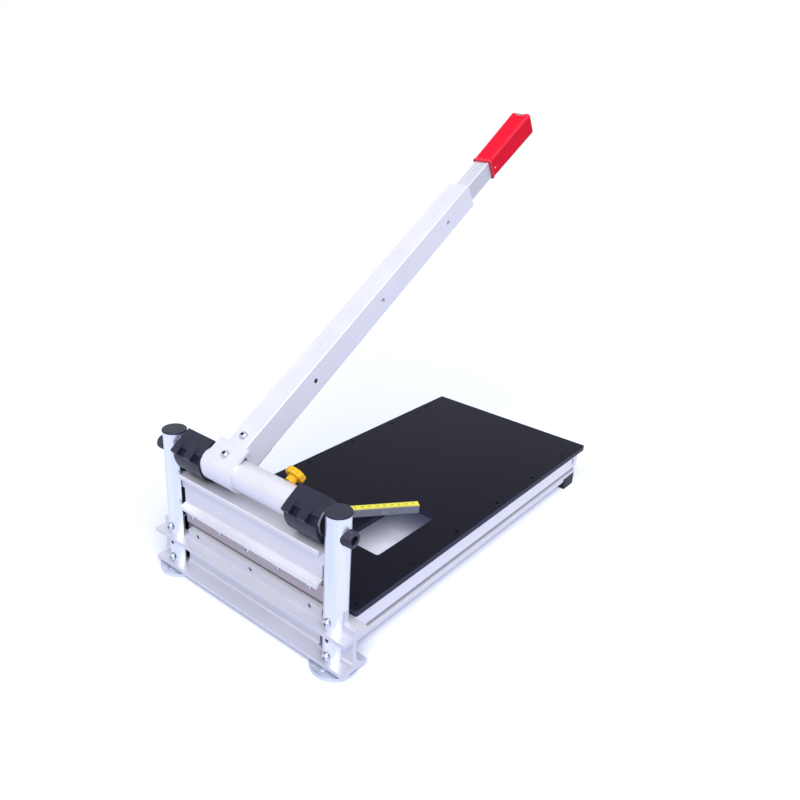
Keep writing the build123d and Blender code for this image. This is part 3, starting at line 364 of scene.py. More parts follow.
def marked_metal(name, base, marks, detail, cool, light, low, high, relief, metallic, patch=None):
    """A metal with long marks, whose sizes along X, Y and Z are given.

    cool tints the marks, and light is how bright the metal is between them. Its roughness goes from low to
    high. patch gives where it has another colour, and that colour."""
    made, add = surface(name)
    place = add("TexCoord")["Object"]
    lines = add("Mapping", {"Vector": place, "Scale": [1 / size for size in marks]})["Vector"]
    streak = add("TexNoise", {"Vector": lines, "Scale": 1.0, "Detail": detail})["Fac"]
    tones = ((0.3, rgba(part * share for part, share in zip(base, cool))), (0.7, tinted(base, light)))
    paint = add("ValToRGB", {"Fac": streak}, tones)["Color"]
    if patch:
        where, tone = patch(add, place)
        paint = add("Mix", {"Factor": where, 6: paint, 7: tone}, data_type="RGBA")[2]
    edge = add("Bevel", {"Radius": sizes().edge}, samples=4)["Normal"]
    bump = {"Strength": relief, "Distance": 0.05 * MM, "Height": streak, "Normal": edge}
    coat(add, paint, (streak, 0.3, 0.7, low, high), bump, {"Metallic": metallic})
    return made


def bright_zinc(name, base, cool, low, high, metallic, patch=None):
    """Zinc plated steel, passivated blue: a bright cool metal, faintly streaked where the bath ran off."""
    # Runs are some 11 mm wide and 150 mm long, and hang down.
    runs = (11 * MM, 11 * MM, 150 * MM)
    return marked_metal(name, base, runs, 2.0, cool, 1.03, low, high, 0.06, metallic, patch)


def post_bore(add, place):
    """Where a post's bore is, which the bath hardly reached, and its dark colour."""
    parts = add("SeparateXYZ", {"Vector": place})
    side = add("Math", {0: parts["X"]}, operation="ABSOLUTE")["Value"]
    flat = add("CombineXYZ", {"X": side, "Y": parts["Y"]})["Vector"]
    away = add("VectorMath", {0: flat, 1: (POST_X, POST_Y, 0.0)}, operation="DISTANCE")["Value"]
    return add("Math", {0: away, 1: POST_BORE}, operation="LESS_THAN")["Value"], rgba(colours().bore)


def ground_bevel(add, place):
    """Where the blade is bevelled, and its darker colour there."""
    height = add("SeparateXYZ", {"Vector": place})["Z"]
    bevel = add("Math", {0: height, 1: BEVEL_TOP}, operation="LESS_THAN")["Value"]
    return bevel, tinted(colours().tool_steel, 0.3)


def worn_dark(name, base, worn, low, high, metallic, grit, shine=0.5, cut=None):
    """A dark finish that is rubbed to another colour along its edges, with a fine grit of a given size.

    cut is the colour of upright faces, where a board has been sawn."""
    made, add = surface(name)
    place = add("TexCoord")["Object"]
    fine = add("TexNoise", {"Vector": place, "Scale": 1 / grit, "Detail": 3.0})["Fac"]
    # Scuffs about 12 mm wide
    scuff = add("TexNoise", {"Vector": place, "Scale": 1 / (12 * MM), "Detail": 4.0})["Fac"]
    edge = add("Bevel", {"Radius": sizes().edge}, samples=4)["Normal"]
    flat = add("NewGeometry")["Normal"]
    near = add("VectorMath", {0: edge, 1: flat}, operation="DOT_PRODUCT")["Value"]
    rubbed = add("MapRange", {"Value": near, "From Min": 0.98, "From Max": 0.8})["Result"]
    share = add("Math", {0: rubbed, 1: scuff}, operation="MULTIPLY")["Value"]
    tones = ((0.35, tinted(base, 0.85)), (0.7, tinted(base, 1.15)))
    paint = add("ValToRGB", {"Fac": scuff}, tones)["Color"]
    if cut:
        slope = add("SeparateXYZ", {"Vector": flat})["Z"]
        level = add("Math", {0: slope}, operation="ABSOLUTE")["Value"]
        upright = add("Math", {0: level, 1: 0.5}, operation="LESS_THAN")["Value"]
        paint = add("Mix", {"Factor": upright, 6: paint, 7: rgba(linear(cut))}, data_type="RGBA")[2]
    paint = add("Mix", {"Factor": share, 6: paint, 7: rgba(linear(worn))}, data_type="RGBA")[2]
    bump = {"Strength": 0.15, "Distance": 0.05 * MM, "Height": fine, "Normal": edge}
    others = {"Metallic": metallic, "Specular IOR Level": shine}
    coat(add, paint, (scuff, 0.3, 0.7, low, high), bump, others)
    return made


def soft_plastic(name, base, low, high, peel, shine=0.5, thin=None, glow=0.0):
    """A plastic with a smooth skin whose waves are a given size across.

    thin is its colour where it is stretched over edges, and glow how much light goes through it."""
    made, add = surface(name)
    place = add("TexCoord")["Object"]
    wave = add("TexNoise", {"Vector": place, "Scale": 1 / peel, "Detail": 1.0})["Fac"]
    # Patches about 15 mm wide
    patch = add("TexNoise", {"Vector": place, "Scale": 1 / (15 * MM), "Detail": 3.0})["Fac"]
    tones = ((0.3, tinted(base, 0.86)), (0.7, tinted(base, 1.05)))
    paint = add("ValToRGB", {"Fac": patch}, tones)["Color"]
    if thin:
        bent = add("NewGeometry")["Pointiness"]
        share = add("MapRange", {"Value": bent, "From Min": 0.51, "From Max": 0.56})["Result"]
        paint = add("Mix", {"Factor": share, 6: paint, 7: rgba(linear(thin))}, data_type="RGBA")[2]
    bump = {"Strength": 0.25, "Distance": 0.2 * MM, "Height": wave}
    others = {"Specular IOR Level": shine, "Subsurface Weight": glow, "Subsurface Scale": 3 * MM}
    coat(add, paint, (patch, 0.3, 0.7, low, high), bump, others)
    return made


# Each finish: the function that makes it, the material's name, the property that holds its colour, and what
# else the function takes, in its order. There low and high are the limits of the roughness, and shine is how
# strongly the surface mirrors.
FINISHES = {
    # Extruded aluminium, left as it came: soft grey, duller on the beam and the blade bar, with fine lines
    "beam": (mill_aluminium, "mill_aluminium_beam", "beam", ACROSS),
    "blade_bar": (mill_aluminium, "mill_aluminium_bar", "dull", ACROSS),
    "axle": (mill_aluminium, "mill_aluminium_axle", "aluminium", ACROSS),
    "rail": (mill_aluminium, "mill_aluminium_rail", "aluminium", REARWARD, RAIL_BAND),
    "handle": (mill_aluminium, "mill_aluminium_handle", "aluminium", UPWARD),
    "ribbed": (mill_aluminium, "mill_aluminium_ribbed", "aluminium", UPWARD, BELOW_RIDGES),
    # Drawn tube, plated whole: bright, with cool runs down its length
    "tube": (bright_zinc, "bright_zinc_tube", "tube", (0.82, 0.87, 0.96), 0.24, 0.36, 0.8, post_bore),
    # Cut plate and discs: bright, even and a little dull
    "zinc": (bright_zinc, "bright_zinc_plate", "plate", (0.88, 0.9, 0.95), 0.3, 0.42, 0.6),
    # Rolled and plated screws: a darker metal that mirrors what is round it
    "screw": (bright_zinc, "polished_zinc_screw", "screw", (0.94, 0.95, 0.97), 0.06, 0.14, 1.0),
    # Plain turned steel: grey, with a dull shine
    "turned": (bright_zinc, "turned_steel", "turned", (0.85, 0.86, 0.88), 0.3, 0.42, 1.0),
    # Tool steel ground flat: a warm grey metal with lines along the wheel's path. They run 30 mm along the
    # blade, and are drawn 0.8 mm apart to show, where real ones are 0.2 mm apart.
    "steel": (marked_metal, "ground_tool_steel", "tool_steel", (30 * MM, 0.8 * MM, 0.8 * MM), 4.0,
              (0.8, 0.8, 0.8), 1.08, 0.3, 0.45, 0.2, 0.9, ground_bevel),
    # Blackened steel, oiled: nearly black, with grey metal where edges have rubbed
    "oxide": (worn_dark, "black_oxide_steel", "oxide", "77777c", 0.28, 0.45, 0.6, 0.6 * MM),
    # Steel screws painted black: dull, and as dark as the board they sit in
    "painted": (worn_dark, "black_painted_screw", "board", "1c1c24", 0.45, 0.6, 0.0, 0.5 * MM, 0.05),
    # Oil and dust in a screw's recess: nearly black and dull
    "dirt": (worn_dark, "oily_dust", "dirt", "303034", 0.6, 0.8, 0.0, 0.4 * MM, 0.2),
    # Glass filled nylon from a spark finished mould: dark grey, satin, with a fine grit
    "nylon": (worn_dark, "moulded_black_nylon", "nylon", "56565f", 0.38, 0.52, 0.0, 0.7 * MM, 0.35),
    # Board faced with black laminate, pressed on a satin plate: dark, even and a little shiny
    "board": (worn_dark, "black_laminate_board", "board", "3e3e48", 0.36, 0.46, 0.0, 0.9 * MM, 0.05,
              "38384a"),
    # Aluminium bar, brushed and anodised black: dark grey metal with bright rubbed corners
    "bar": (worn_dark, "black_anodised_bar", "bar", "a2a3aa", 0.32, 0.45, 0.2, 0.5 * MM),
    # Moulded rubber: black and dull, greyed by dust
    "rubber": (worn_dark, "moulded_black_rubber", "rubber", "34343a", 0.65, 0.8, 0.0, 0.8 * MM),
    # Vinyl that a tube was dipped in: strong red, glossy, with a slow orange peel
    "vinyl": (soft_plastic, "dipped_red_vinyl", "vinyl", 0.35, 0.5, 4 * MM, 0.02, "ff4a5a"),
    # Vinyl rubbed through at the grip's end: pale, greyed and dull
    "scuff": (soft_plastic, "scuffed_red_vinyl", "scuff", 0.6, 0.75, 2 * MM, 0.1),
    # Moulded ABS: clear orange, with a satin skin and some light going through it
    "orange": (soft_plastic, "moulded_orange_abs", "orange", 0.3, 0.42, 3 * MM, 0.12, None, 0.5),
    # Printed polyester tape: clear yellow with a slight gloss, faintly marked by use
    "tape": (soft_plastic, "printed_yellow_tape", "tape", 0.35, 0.5, 2 * MM),
    # Ink on the tape: dull and nearly black
    "ink": (soft_plastic, "printing_ink", "ink", 0.5, 0.6, 1 * MM),
}


@cache
def finish_of(name):
    """The material of a finish, made once."""
    make, title, tint, *others = FINISHES[name]
    return make(title, getattr(colours(), tint), *others)


def dress(finish, *nodes):
    """Gives CAD pieces that stay as they are their finish."""
    for node in nodes:
        mesh_object = frame["nodes"][node]
        if not mesh_object.material_slots:
            mesh_object.data.materials.append(None)
        for slot in mesh_object.material_slots:
            slot.material = finish_of(finish)


def loop(bm, place, radius, height, shape=None, sides=ROUND_SIDES, cap=False):
    """A closed loop of edges round the Z axis of a place, pushed out or in by shape, a rule of the angle."""
    level = place @ Matrix.Translation((0.0, 0.0, height))
    verts = bmesh.ops.create_circle(bm, segments=sides, radius=radius, cap_ends=cap, matrix=level)["verts"]
    if shape:
        back = level.inverted()
        for vert in verts:
            own = back @ vert.co
            vert.co = level @ (own * shape(math.atan2(own.y, own.x)))
    return list({edge for vert in verts for edge in vert.link_edges})


def stack(bm, place, *rows):
    """Loops from rows of their radius, height and shape."""
    return [loop(bm, place, *row) for row in rows]


def skin(bm, loops, finish=0):
    """Walls between loops that follow each other, in the first or the second finish."""
    for near, far in zip(loops, loops[1:]):
        for face in bmesh.ops.bridge_loops(bm, edges=near + far)["faces"]:
            face.material_index = finish


def sink(bm, rim, floor, middle):
    """The walls and the bottom of a recess, in the second finish."""
    skin(bm, [rim, floor, middle], 1)
    for face in {face for edge in middle for face in edge.link_faces}:
        face.material_index = 1


def six_flats(angle):
    """Radius rule of a hexagon whose flats touch the circle."""
    sixth = math.pi / 3
    return 1 / math.cos((angle + sixth / 2) % sixth - sixth / 2)


def cross_arms(angle):
    """Radius rule of a cross with four arms, for corners 15 degrees apart."""
    step = math.radians(15)
    arm = math.tan(step)
    rule = (1.0, 1 / math.cos(step), 2 * arm, math.sqrt(2) * arm, 2 * arm, 1 / math.cos(step))
    return rule[round(angle / step) % 6]


def object_of(name, bm, finishes):
    """Turns a bmesh into an object with its place in its mesh."""
    bmesh.ops.remove_doubles(bm, verts=bm.verts, dist=MERGE)
    bmesh.ops.recalc_face_normals(bm, faces=bm.faces)
    mesh = bpy.data.meshes.new(name)
    bm.to_mesh(mesh)
    bm.free()
    if not mesh.polygons:
        raise RuntimeError(f"{name} has no faces")
    for finish in finishes:
        mesh.materials.append(finish_of(finish))
    mesh.shade_smooth()
    mesh.set_sharp_from_angle(angle=SHARP)
    made = bpy.data.objects.new(name, mesh)
    bpy.context.scene.collection.objects.link(made)
    return made


def facing(point, direction):
    """A place whose Z axis points along a direction."""
    return Matrix.Translation(point) @ Vector(direction).to_track_quat("Z", "Y").to_matrix().to_4x4()


def shank_end(bm, place, radius, reach):
    """The two loops of a shank's chamfered end, which is closed."""
    return [loop(bm, place, radius * 0.8, -reach, cap=True), loop(bm, place, radius, -reach + 0.2 * radius)]


def domed_head(bm, place, size, recess, recess_radius, shank):
    """A domed screw: head above its own zero with a recess, shank below."""
    shank_r, head_r, head_h = size
    depth = sizes().recess
    flat_r = recess_radius * 1.18
    skirt = 0.2 * head_h
    steps = 5
    dome = [math.pi / 2 * i / steps for i in range(steps + 1)]
    loops = shank_end(bm, place, shank_r, shank)
    loops += stack(bm, place, (shank_r, 0.0), (head_r, 0.0))
    skin(bm, loops)
    # Dirt gathers round the foot of the head.
    loops = [loops[-1], loop(bm, place, head_r, 0.5 * skirt)]
    skin(bm, loops, 1)
    loops = loops[1:]
    for turn in dome:
        radius = flat_r + (head_r - flat_r) * math.cos(turn)
        loops.append(loop(bm, place, radius, skirt + (head_h - skirt) * math.sin(turn)))
    loops.append(loop(bm, place, recess_radius, head_h, recess))
    skin(bm, loops)
    floor = loop(bm, place, recess_radius * 0.82, head_h - depth, recess)
    sink(bm, loops[-1], floor, loop(bm, place, recess_radius * 0.2, head_h - depth * 1.15, cap=True))


def sunk_head(bm, place, size, recess, recess_radius, shank):
    """A countersunk screw with its top at its own zero."""
    shank_r, head_r, head_h = size
    depth = sizes().recess
    rim = 0.1 * head_h
    loops = shank_end(bm, place, shank_r, shank)
    loops += stack(bm, place, (shank_r, -head_h), (head_r - rim / 2, -rim), (head_r - rim, 0.0),
                   (recess_radius, 0.0, recess))
    skin(bm, loops)
    floor = loop(bm, place, recess_radius * 0.6, -depth, recess)
    sink(bm, loops[-1], floor, loop(bm, place, recess_radius * 0.15, -depth * 1.15, cap=True))


def round_square(half_x, half_y, corner):
    """Radius rule of a rectangle with round corners."""
    def rule(angle):
        x = max(abs(math.cos(angle)), 1e-9)
        y = max(abs(math.sin(angle)), 1e-9)
        flat = min(half_x / x, half_y / y)
        inner_x = half_x - corner
        inner_y = half_y - corner
        if flat * x <= inner_x or flat * y <= inner_y:
            return flat
        along = inner_x * x + inner_y * y
        return along + math.sqrt(max(0.0, along ** 2 - inner_x ** 2 - inner_y ** 2 + corner ** 2))
    return rule


def hex_nut(bm, place):
    """A hexagon nut with turned corners, standing on its own zero."""
    half = NUT_FLATS / 2
    top = NUT_HEIGHT
    bore = M6[0]
    rim = 0.12 * top
    loops = stack(bm, place, (bore, 0.0), (half * 0.96, 0.0), (half, rim, six_flats),
                  (half, top - rim, six_flats), (half * 0.96, top), (bore * 1.15, top),
                  (bore, top - 0.15 * bore))
    skin(bm, loops)
    bmesh.ops.bridge_loops(bm, edges=loops[-1] + loops[0])


class CutterOperator:
    """What the cutter's operators share."""
    bl_options = {"REGISTER", "UNDO"}


class CUTTER_OT_extrusions(CutterOperator, bpy.types.Operator):
    """Finish the aluminium extrusions, the axle and the handle"""
    bl_idname = "cutter.extrusions"
    bl_label = "Extrusions"

    def execute(self, context):
        dress("beam", "base_beam", "anvil_strip")
        dress("blade_bar", "blade_bar")
        dress("axle", "axle_tube", "handle_clamp")
        dress("rail", "rail_left", "rail_right")
        dress("handle", "handle_tube")
        dress("ribbed", "handle_extension")
        return {"FINISHED"}


class CUTTER_OT_steel(CutterOperator, bpy.types.Operator):
    """Finish the posts, discs, plates and plain steel pieces"""
    bl_idname = "cutter.steel"
    bl_label = "Posts and steel"

    def execute(self, context):
        dress("tube", "post_left", "post_right")
        dress("zinc", "foot_disc_left", "foot_disc_right", "joining_plates", "joining_screws", "spring_seats",
              "spring_caps", "cam_keys", "axle_knob_stud", "rear_foot_screws")
        dress("turned", "axle_collars")
        dress("steel", "blade")
        dress("oxide", "extension_lock_screw", "axle_plug_left", "axle_plug_right")
        return {"FINISHED"}


class CUTTER_OT_plastics(CutterOperator, bpy.types.Operator):
    """Finish the cams, caps, feet and the knob"""
    bl_idname = "cutter.plastics"
    bl_label = "Cams, caps and knob"

    def execute(self, context):
        dress("nylon", "post_cap_left", "post_cap_right", "cam_left_inner", "cam_left_outer",
              "cam_right_inner", "cam_right_outer")
        dress("rubber", "rear_foot_left", "rear_foot_right")
        dress("orange", "axle_knob")
        return {"FINISHED"}


class CUTTER_OT_grip(CutterOperator, bpy.types.Operator):
    """Make the dipped vinyl grip, with its lip, its dented end and its air hole"""
    bl_idname = "cutter.grip"
    bl_label = "Grip"

    def execute(self, context):
        size = sizes()
        place = HANDLE @ facing((0.0, 0.0, HANDLE_W), (1.0, 0.0, 0.0))
        lip = size.grip_wall + size.grip_lip
        wall = size.grip_end_wall
        run = GRIP_END - GRIP_START
        # Each row is a place along the grip, and its height over the tube.
        mouth = [(1.0, -0.9 * MM), (0.0, 0.5 * MM), (0.0, lip - 0.6 * MM), (0.6, lip), (3.0, lip - 0.05 * MM),
                 (4.4, size.grip_wall + 0.05 * MM)]
        rows = [(GRIP_START + ahead * MM, height) for ahead, height in mouth]
        sleeve = [GRIP_HOLE[0] + step * size.grip_hole for step in (-1.0, -0.35, 0.35, 1.0)]
        shares = (0.14, 0.22, 0.3, 0.4, 0.5, 0.6, 0.7, 0.8, 0.88, 0.92)
        sleeve += [GRIP_START + share * run for share in shares]
        sleeve += [GRIP_END - back * MM for back in (7.5, 6.0, 4.8, 3.8, 3.0)]
        for along in sleeve:
            share = (along - GRIP_START) / run
            rows.append((along, size.grip_wall + share * (wall - size.grip_wall)))
        end = [(1.6, wall - 0.4 * MM), (0.5, wall - 1.3 * MM), (0.0, wall - 2.8 * MM), (0.9, -3.0 * MM),
               (2.2, -8.0 * MM)]
        rows += [(GRIP_END - back * MM, height) for back, height in end]
        bm = bmesh.new()
        loops = []
        for number, (along, height) in enumerate(rows):
            half_w = GRIP_TUBE_W + height
            rule = round_square(GRIP_TUBE_N + height, half_w, min(size.grip_corner, 0.7 * half_w))
            loops.append(loop(bm, place, 1.0, along, rule, GRIP_SIDES, number == len(rows) - 1))
        skin(bm, loops)
        self.mouth(bm, place)
        self.dent(bm, place)
        self.air_hole(bm, place)
        made = object_of("vinyl_grip", bm, ["vinyl", "handle", "scuff"])
        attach(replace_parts(made, "handle_grip"), "extension")
        return {"FINISHED"}

    def mouth(self, bm, place):
        """Scallops the lip's upper edge, where the vinyl has run into the tube's grooves."""
        back = place.inverted()
        for vert in bm.verts:
            own = back @ vert.co
            if own.z < GRIP_START + GRIP_SCALLOP and own.x > 0.9 * GRIP_TUBE_N and abs(own.y) < GRIP_TUBE_W:
                own.z += sizes().grip_wave * math.cos(2 * math.pi * own.y / sizes().grip_wave_pitch)
                vert.co = place @ own

    def dent(self, bm, place):
        """Presses the middle of the upper wall in, just short of the end, and scuffs it."""
        back = place.inverted()
        deep = set()
        for vert in bm.verts:
            own = back @ vert.co
            across = 1 - (own.y / DENT_WIDTH) ** 2
            along = 1 - ((own.z - GRIP_END + DENT_BACK) / DENT_LENGTH) ** 2
            if own.x > GRIP_TUBE_N and across > 0 and along > 0:
                own.x -= sizes().grip_dent * across * along
                vert.co = place @ own
                if across * along > DENT_SCUFF:
                    deep.add(vert)
        for face in bm.faces:
            if deep.issuperset(face.verts):
                face.material_index = 2

    def air_hole(self, bm, place):
        """Opens a round hole in the right wall."""
        radius = sizes().grip_hole
        back = place.inverted()
        middle = Vector((GRIP_HOLE[1], GRIP_TUBE_W + sizes().grip_wall, GRIP_HOLE[0]))
        inner = [vert for vert in bm.verts if (back @ vert.co - middle).length < 0.75 * radius]
        rim = {vert for face in {face for vert in inner for face in vert.link_faces} for vert in face.verts}
        rim = rim.difference(inner)
        bmesh.ops.delete(bm, geom=inner, context="VERTS")
        for vert in rim:
            own = back @ vert.co
            turn = math.atan2(own.z - middle.z, own.x - middle.x)
            own.x = middle.x + radius * math.cos(turn)
            own.z = middle.z + radius * math.sin(turn)
            vert.co = place @ own
        edges = [edge for edge in bm.edges if edge.is_boundary and set(edge.verts) <= rim]
        sunk = bmesh.ops.extrude_edge_only(bm, edges=edges)["geom"]
        inward = place.to_3x3() @ Vector((0.0, -0.3 * sizes().grip_wall, 0.0))
        floor = [part for part in sunk if isinstance(part, bmesh.types.BMVert)]
        bmesh.ops.translate(bm, vec=inward, verts=floor)
        ring = [part for part in sunk if isinstance(part, bmesh.types.BMEdge)]
        for face in bmesh.ops.contextual_create(bm, geom=ring)["faces"]:
            face.material_index = 1


class CUTTER_OT_table(CutterOperator, bpy.types.Operator):
    """Finish the table board and the fence"""
    bl_idname = "cutter.table"
    bl_label = "Table and fence"

    def execute(self, context):
        dress("board", "table_board")
        dress("bar", "fence_bar")
        dress("tape", "fence_ruler")
        return {"FINISHED"}


class CUTTER_OT_screws(CutterOperator, bpy.types.Operator):
    """Make the post, anvil, blade and table screws with their recesses"""
    bl_idname = "cutter.screws"
    bl_label = "Screws"

    def execute(self, context):
        size = sizes()
        bm = bmesh.new()
        for x in (-POST_X, POST_X):
            for z in POST_SCREW_Z:
                place = facing((x, POST_FRONT, z), FRONT)
                domed_head(bm, place, M6, cross_arms, size.cross, POST_Y - POST_FRONT + M6[0])
        made = object_of("post_screw_set", bm, ["screw", "dirt"])
        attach(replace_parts(made, "post_screws"), "base")

        bm = bmesh.new()
        for x in ANVIL_SCREW_X:
            place = facing((x, ANVIL_FRONT, ANVIL_SCREW_Z), FRONT)
            sunk_head(bm, place, M4, cross_arms, size.cross, ANVIL_SCREW_LENGTH)
        made = object_of("anvil_screw_set", bm, ["screw", "dirt"])
        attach(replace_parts(made, "anvil_screws"), "base")

        bm = bmesh.new()
        for x in BLADE_SCREW_X:
            place = facing((x, BLADE_FRONT, BLADE_SCREW_Z), FRONT)
            domed_head(bm, place, M5, six_flats, size.small_socket / 2, BLADE_SCREW_LENGTH)
        made = object_of("blade_screw_set", bm, ["screw", "dirt"])
        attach(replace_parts(made, "blade_screws"), "blade_carriage")

        bm = bmesh.new()
        for x in (-TABLE_SCREW_X, TABLE_SCREW_X):
            for y in TABLE_SCREW_Y:
                place = facing((x, y, BOARD_TOP), UP)
                sunk_head(bm, place, M4, cross_arms, size.cross, TABLE_SCREW_LENGTH)
        made = object_of("table_screw_set", bm, ["painted", "dirt"])
        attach(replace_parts(made, "table_screws"), "base")
        return {"FINISHED"}


class CUTTER_OT_clamp_bolts(CutterOperator, bpy.types.Operator):
    """Make the domed bolts and nuts of the handle clamp and of the fence"""
    bl_idname = "cutter.clamp_bolts"
    bl_label = "Clamp bolts and fence bolt"

    def execute(self, context):
        size = sizes()
        bolts = bmesh.new()
        nuts = bmesh.new()
        for along, top in CLAMP_BOLTS:
            place = HANDLE @ facing((along, top, HANDLE_W), (0.0, 1.0, 0.0))
            shank = top + CLAMP_TOP + NUT_HEIGHT + BOLT_END
            domed_head(bolts, place, M6, six_flats, size.socket / 2, shank)
            under = HANDLE @ facing((along, -CLAMP_TOP, HANDLE_W), (0.0, -1.0, 0.0))
            hex_nut(nuts, under)
        made = object_of("clamp_bolt_pair", bolts, ["screw", "dirt"])
        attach(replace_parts(made, "clamp_bolts"), "handle")
        made = object_of("clamp_nut_pair", nuts, ["screw"])
        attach(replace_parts(made, "clamp_nuts"), "handle")

        seat = FENCE @ Vector((0.0, 0.0, FENCE_BOLT_SEAT))
        bolt = bmesh.new()
        shank = seat.z - BOARD_BOTTOM + NUT_HEIGHT + BOLT_END
        domed_head(bolt, facing(seat, UP), M6, six_flats, size.socket / 2, shank)
        made = object_of("fence_bolt", bolt, ["oxide", "dirt"])
        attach(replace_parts(made, "fence_pivot_bolt"), "base")
        nut = bmesh.new()
        hex_nut(nut, facing((seat.x, seat.y, BOARD_BOTTOM), (0.0, 0.0, -1.0)))
        made = object_of("fence_nut", nut, ["screw"])
        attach(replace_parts(made, "fence_pivot_nut"), "base")
        return {"FINISHED"}


class CUTTER_OT_pivot_screws(CutterOperator, bpy.types.Operator):
    """Make the large knurled socket screws that the axle turns on"""
    bl_idname = "cutter.pivot_screws"
    bl_label = "Pivot screws"

    def execute(self, context):
        for name, side in (("right", 1), ("left", -1)):
            bm = bmesh.new()
            ends = sorted(abs(corner.x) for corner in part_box(f"pivot_screw_{name}"))
            seat = ends[1] - sizes().pivot_head_height
            self.head(bm, facing((side * seat, POST_Y, PIVOT_Z), (side, 0.0, 0.0)), seat - ends[0])
            made = object_of(f"pivot_cap_screw_{name}", bm, ["oxide"])
            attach(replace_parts(made, f"pivot_screw_{name}"), "base")
        return {"FINISHED"}

    def head(self, bm, place, reach):
        size = sizes()
        radius = size.pivot_head_radius
        height = size.pivot_head_height
        socket = size.pivot_socket / 2
        shank = 6.0 * MM
        band = 1.2 * MM

        def knurl(angle):
            tooth = round(angle / (2 * math.pi / KNURL_SIDES)) % 2
            return 1 - tooth * size.knurl / radius

        rings = [
            (shank * 0.85, -reach),
            (shank, -reach + 1.0 * MM),
            (shank, 0.0),
            (radius - 0.4 * MM, 0.0),
            (radius, 0.4 * MM),
            (radius, band),
            (radius, band + 0.3 * MM, knurl),
            (radius, height - band - 0.3 * MM, knurl),
            (radius, height - band),
            (radius - 0.35 * MM, height - 0.4 * MM),
            (radius - 1.0 * MM, height),
            (socket + 0.5 * MM, height, six_flats),
            (socket, height - 0.5 * MM, six_flats),
            (socket, height - size.pivot_socket_depth, six_flats),
            (socket * 0.3, height - size.pivot_socket_depth - 1.5 * MM),
        ]
        ends = (rings[0], rings[-1])
        skin(bm, [loop(bm, place, *ring, sides=KNURL_SIDES, cap=ring in ends) for ring in rings])


class CUTTER_OT_springs(CutterOperator, bpy.types.Operator):
    """Wind the return springs that stand in the posts"""
    bl_idname = "cutter.springs"
    bl_label = "Return springs"

    def execute(self, context):
        size = sizes()
        wire = size.wire_radius
        # A closed turn rises by little more than the wire's thickness.
        closed = 2.04 * wire
        rise = SPRING_TOP - SPRING_BOTTOM - 2 * wire
        open_turns = size.coil_turns - 2
        pitch = (rise - 2 * closed) / open_turns
        for name, side in (("right", 1), ("left", -1)):
            bm = bmesh.new()
            start = Vector((side * POST_X + size.coil_radius, POST_Y, SPRING_BOTTOM + wire))
            turned = Matrix.Translation(start) @ Matrix.Rotation(math.pi / 2, 4, "X")
            circle = bmesh.ops.create_circle(
                bm, segments=WIRE_SIDES, radius=wire, cap_ends=True, matrix=turned)
            geom = list({face for vert in circle["verts"] for face in vert.link_faces})
            for turns, step in ((1, closed), (open_turns, pitch), (1, closed)):
                made = bmesh.ops.spin(
                    bm, geom=geom, cent=(side * POST_X, POST_Y, 0.0), axis=UP,
                    dvec=(0.0, 0.0, step / ROUND_SIDES), angle=2 * math.pi * turns, steps=ROUND_SIDES * turns)
                geom = [part for part in made["geom_last"] if isinstance(part, bmesh.types.BMFace)]
            coil = object_of(f"spring_coil_{name}", bm, ["oxide"])
            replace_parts(coil, f"return_spring_{name}")
            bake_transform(coil)
        return {"FINISHED"}


class CUTTER_OT_ruler(CutterOperator, bpy.types.Operator):
    """Print the millimetre marks and numbers on the ruler tape"""
    bl_idname = "cutter.ruler"
    bl_label = "Ruler print"

    def execute(self, context):
        size = sizes()
        # Marks, in millimetres along the tape, its printed edge, the lines and the numbers
        first = 10
        last = 177
        side = -5.3 * MM
        line = 0.22 * MM
        bold = 1.6 * line
        proud = 0.04 * MM
        gap = 0.6 * MM
        font_size = 1.4 * size.digit
        top = TAPE_TOP - FENCE.translation.z
        bm = bmesh.new()
        for mark in range(first, last):
            reach = size.tick_whole if mark % 10 == 0 else size.tick_half if mark % 5 == 0 else size.tick
            width = bold if mark % 10 == 0 else line
            middle = FENCE @ Matrix.Translation((mark * MM, side + reach / 2, top + proud / 2))
            bmesh.ops.create_cube(bm, size=1.0, matrix=middle @ Matrix.Diagonal((width, reach, proud, 1.0)))
        marks = object_of("ruler_marks", bm, ["ink"])
        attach(marks, "fence")

        bm = bmesh.new()
        for number in range(first // 10, last // 10 + 1):
            text = bpy.data.curves.new(f"digits_{number}", "FONT")
            text.body = str(number)
            text.size = font_size
            text.align_x = "CENTER"
            text.extrude = proud / 2
            text.resolution_u = 2
            holder = bpy.data.objects.new(text.name, text)
            flat = holder.to_mesh()
            foot = side + size.tick_whole + gap
            flat.transform(FENCE @ Matrix.Translation((number * 10 * MM, foot, top + proud / 2)))
            bm.from_mesh(flat)
            holder.to_mesh_clear()
            bpy.data.objects.remove(holder)
            bpy.data.curves.remove(text)
        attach(object_of("ruler_numbers", bm, ["ink"]), "fence")
        return {"FINISHED"}


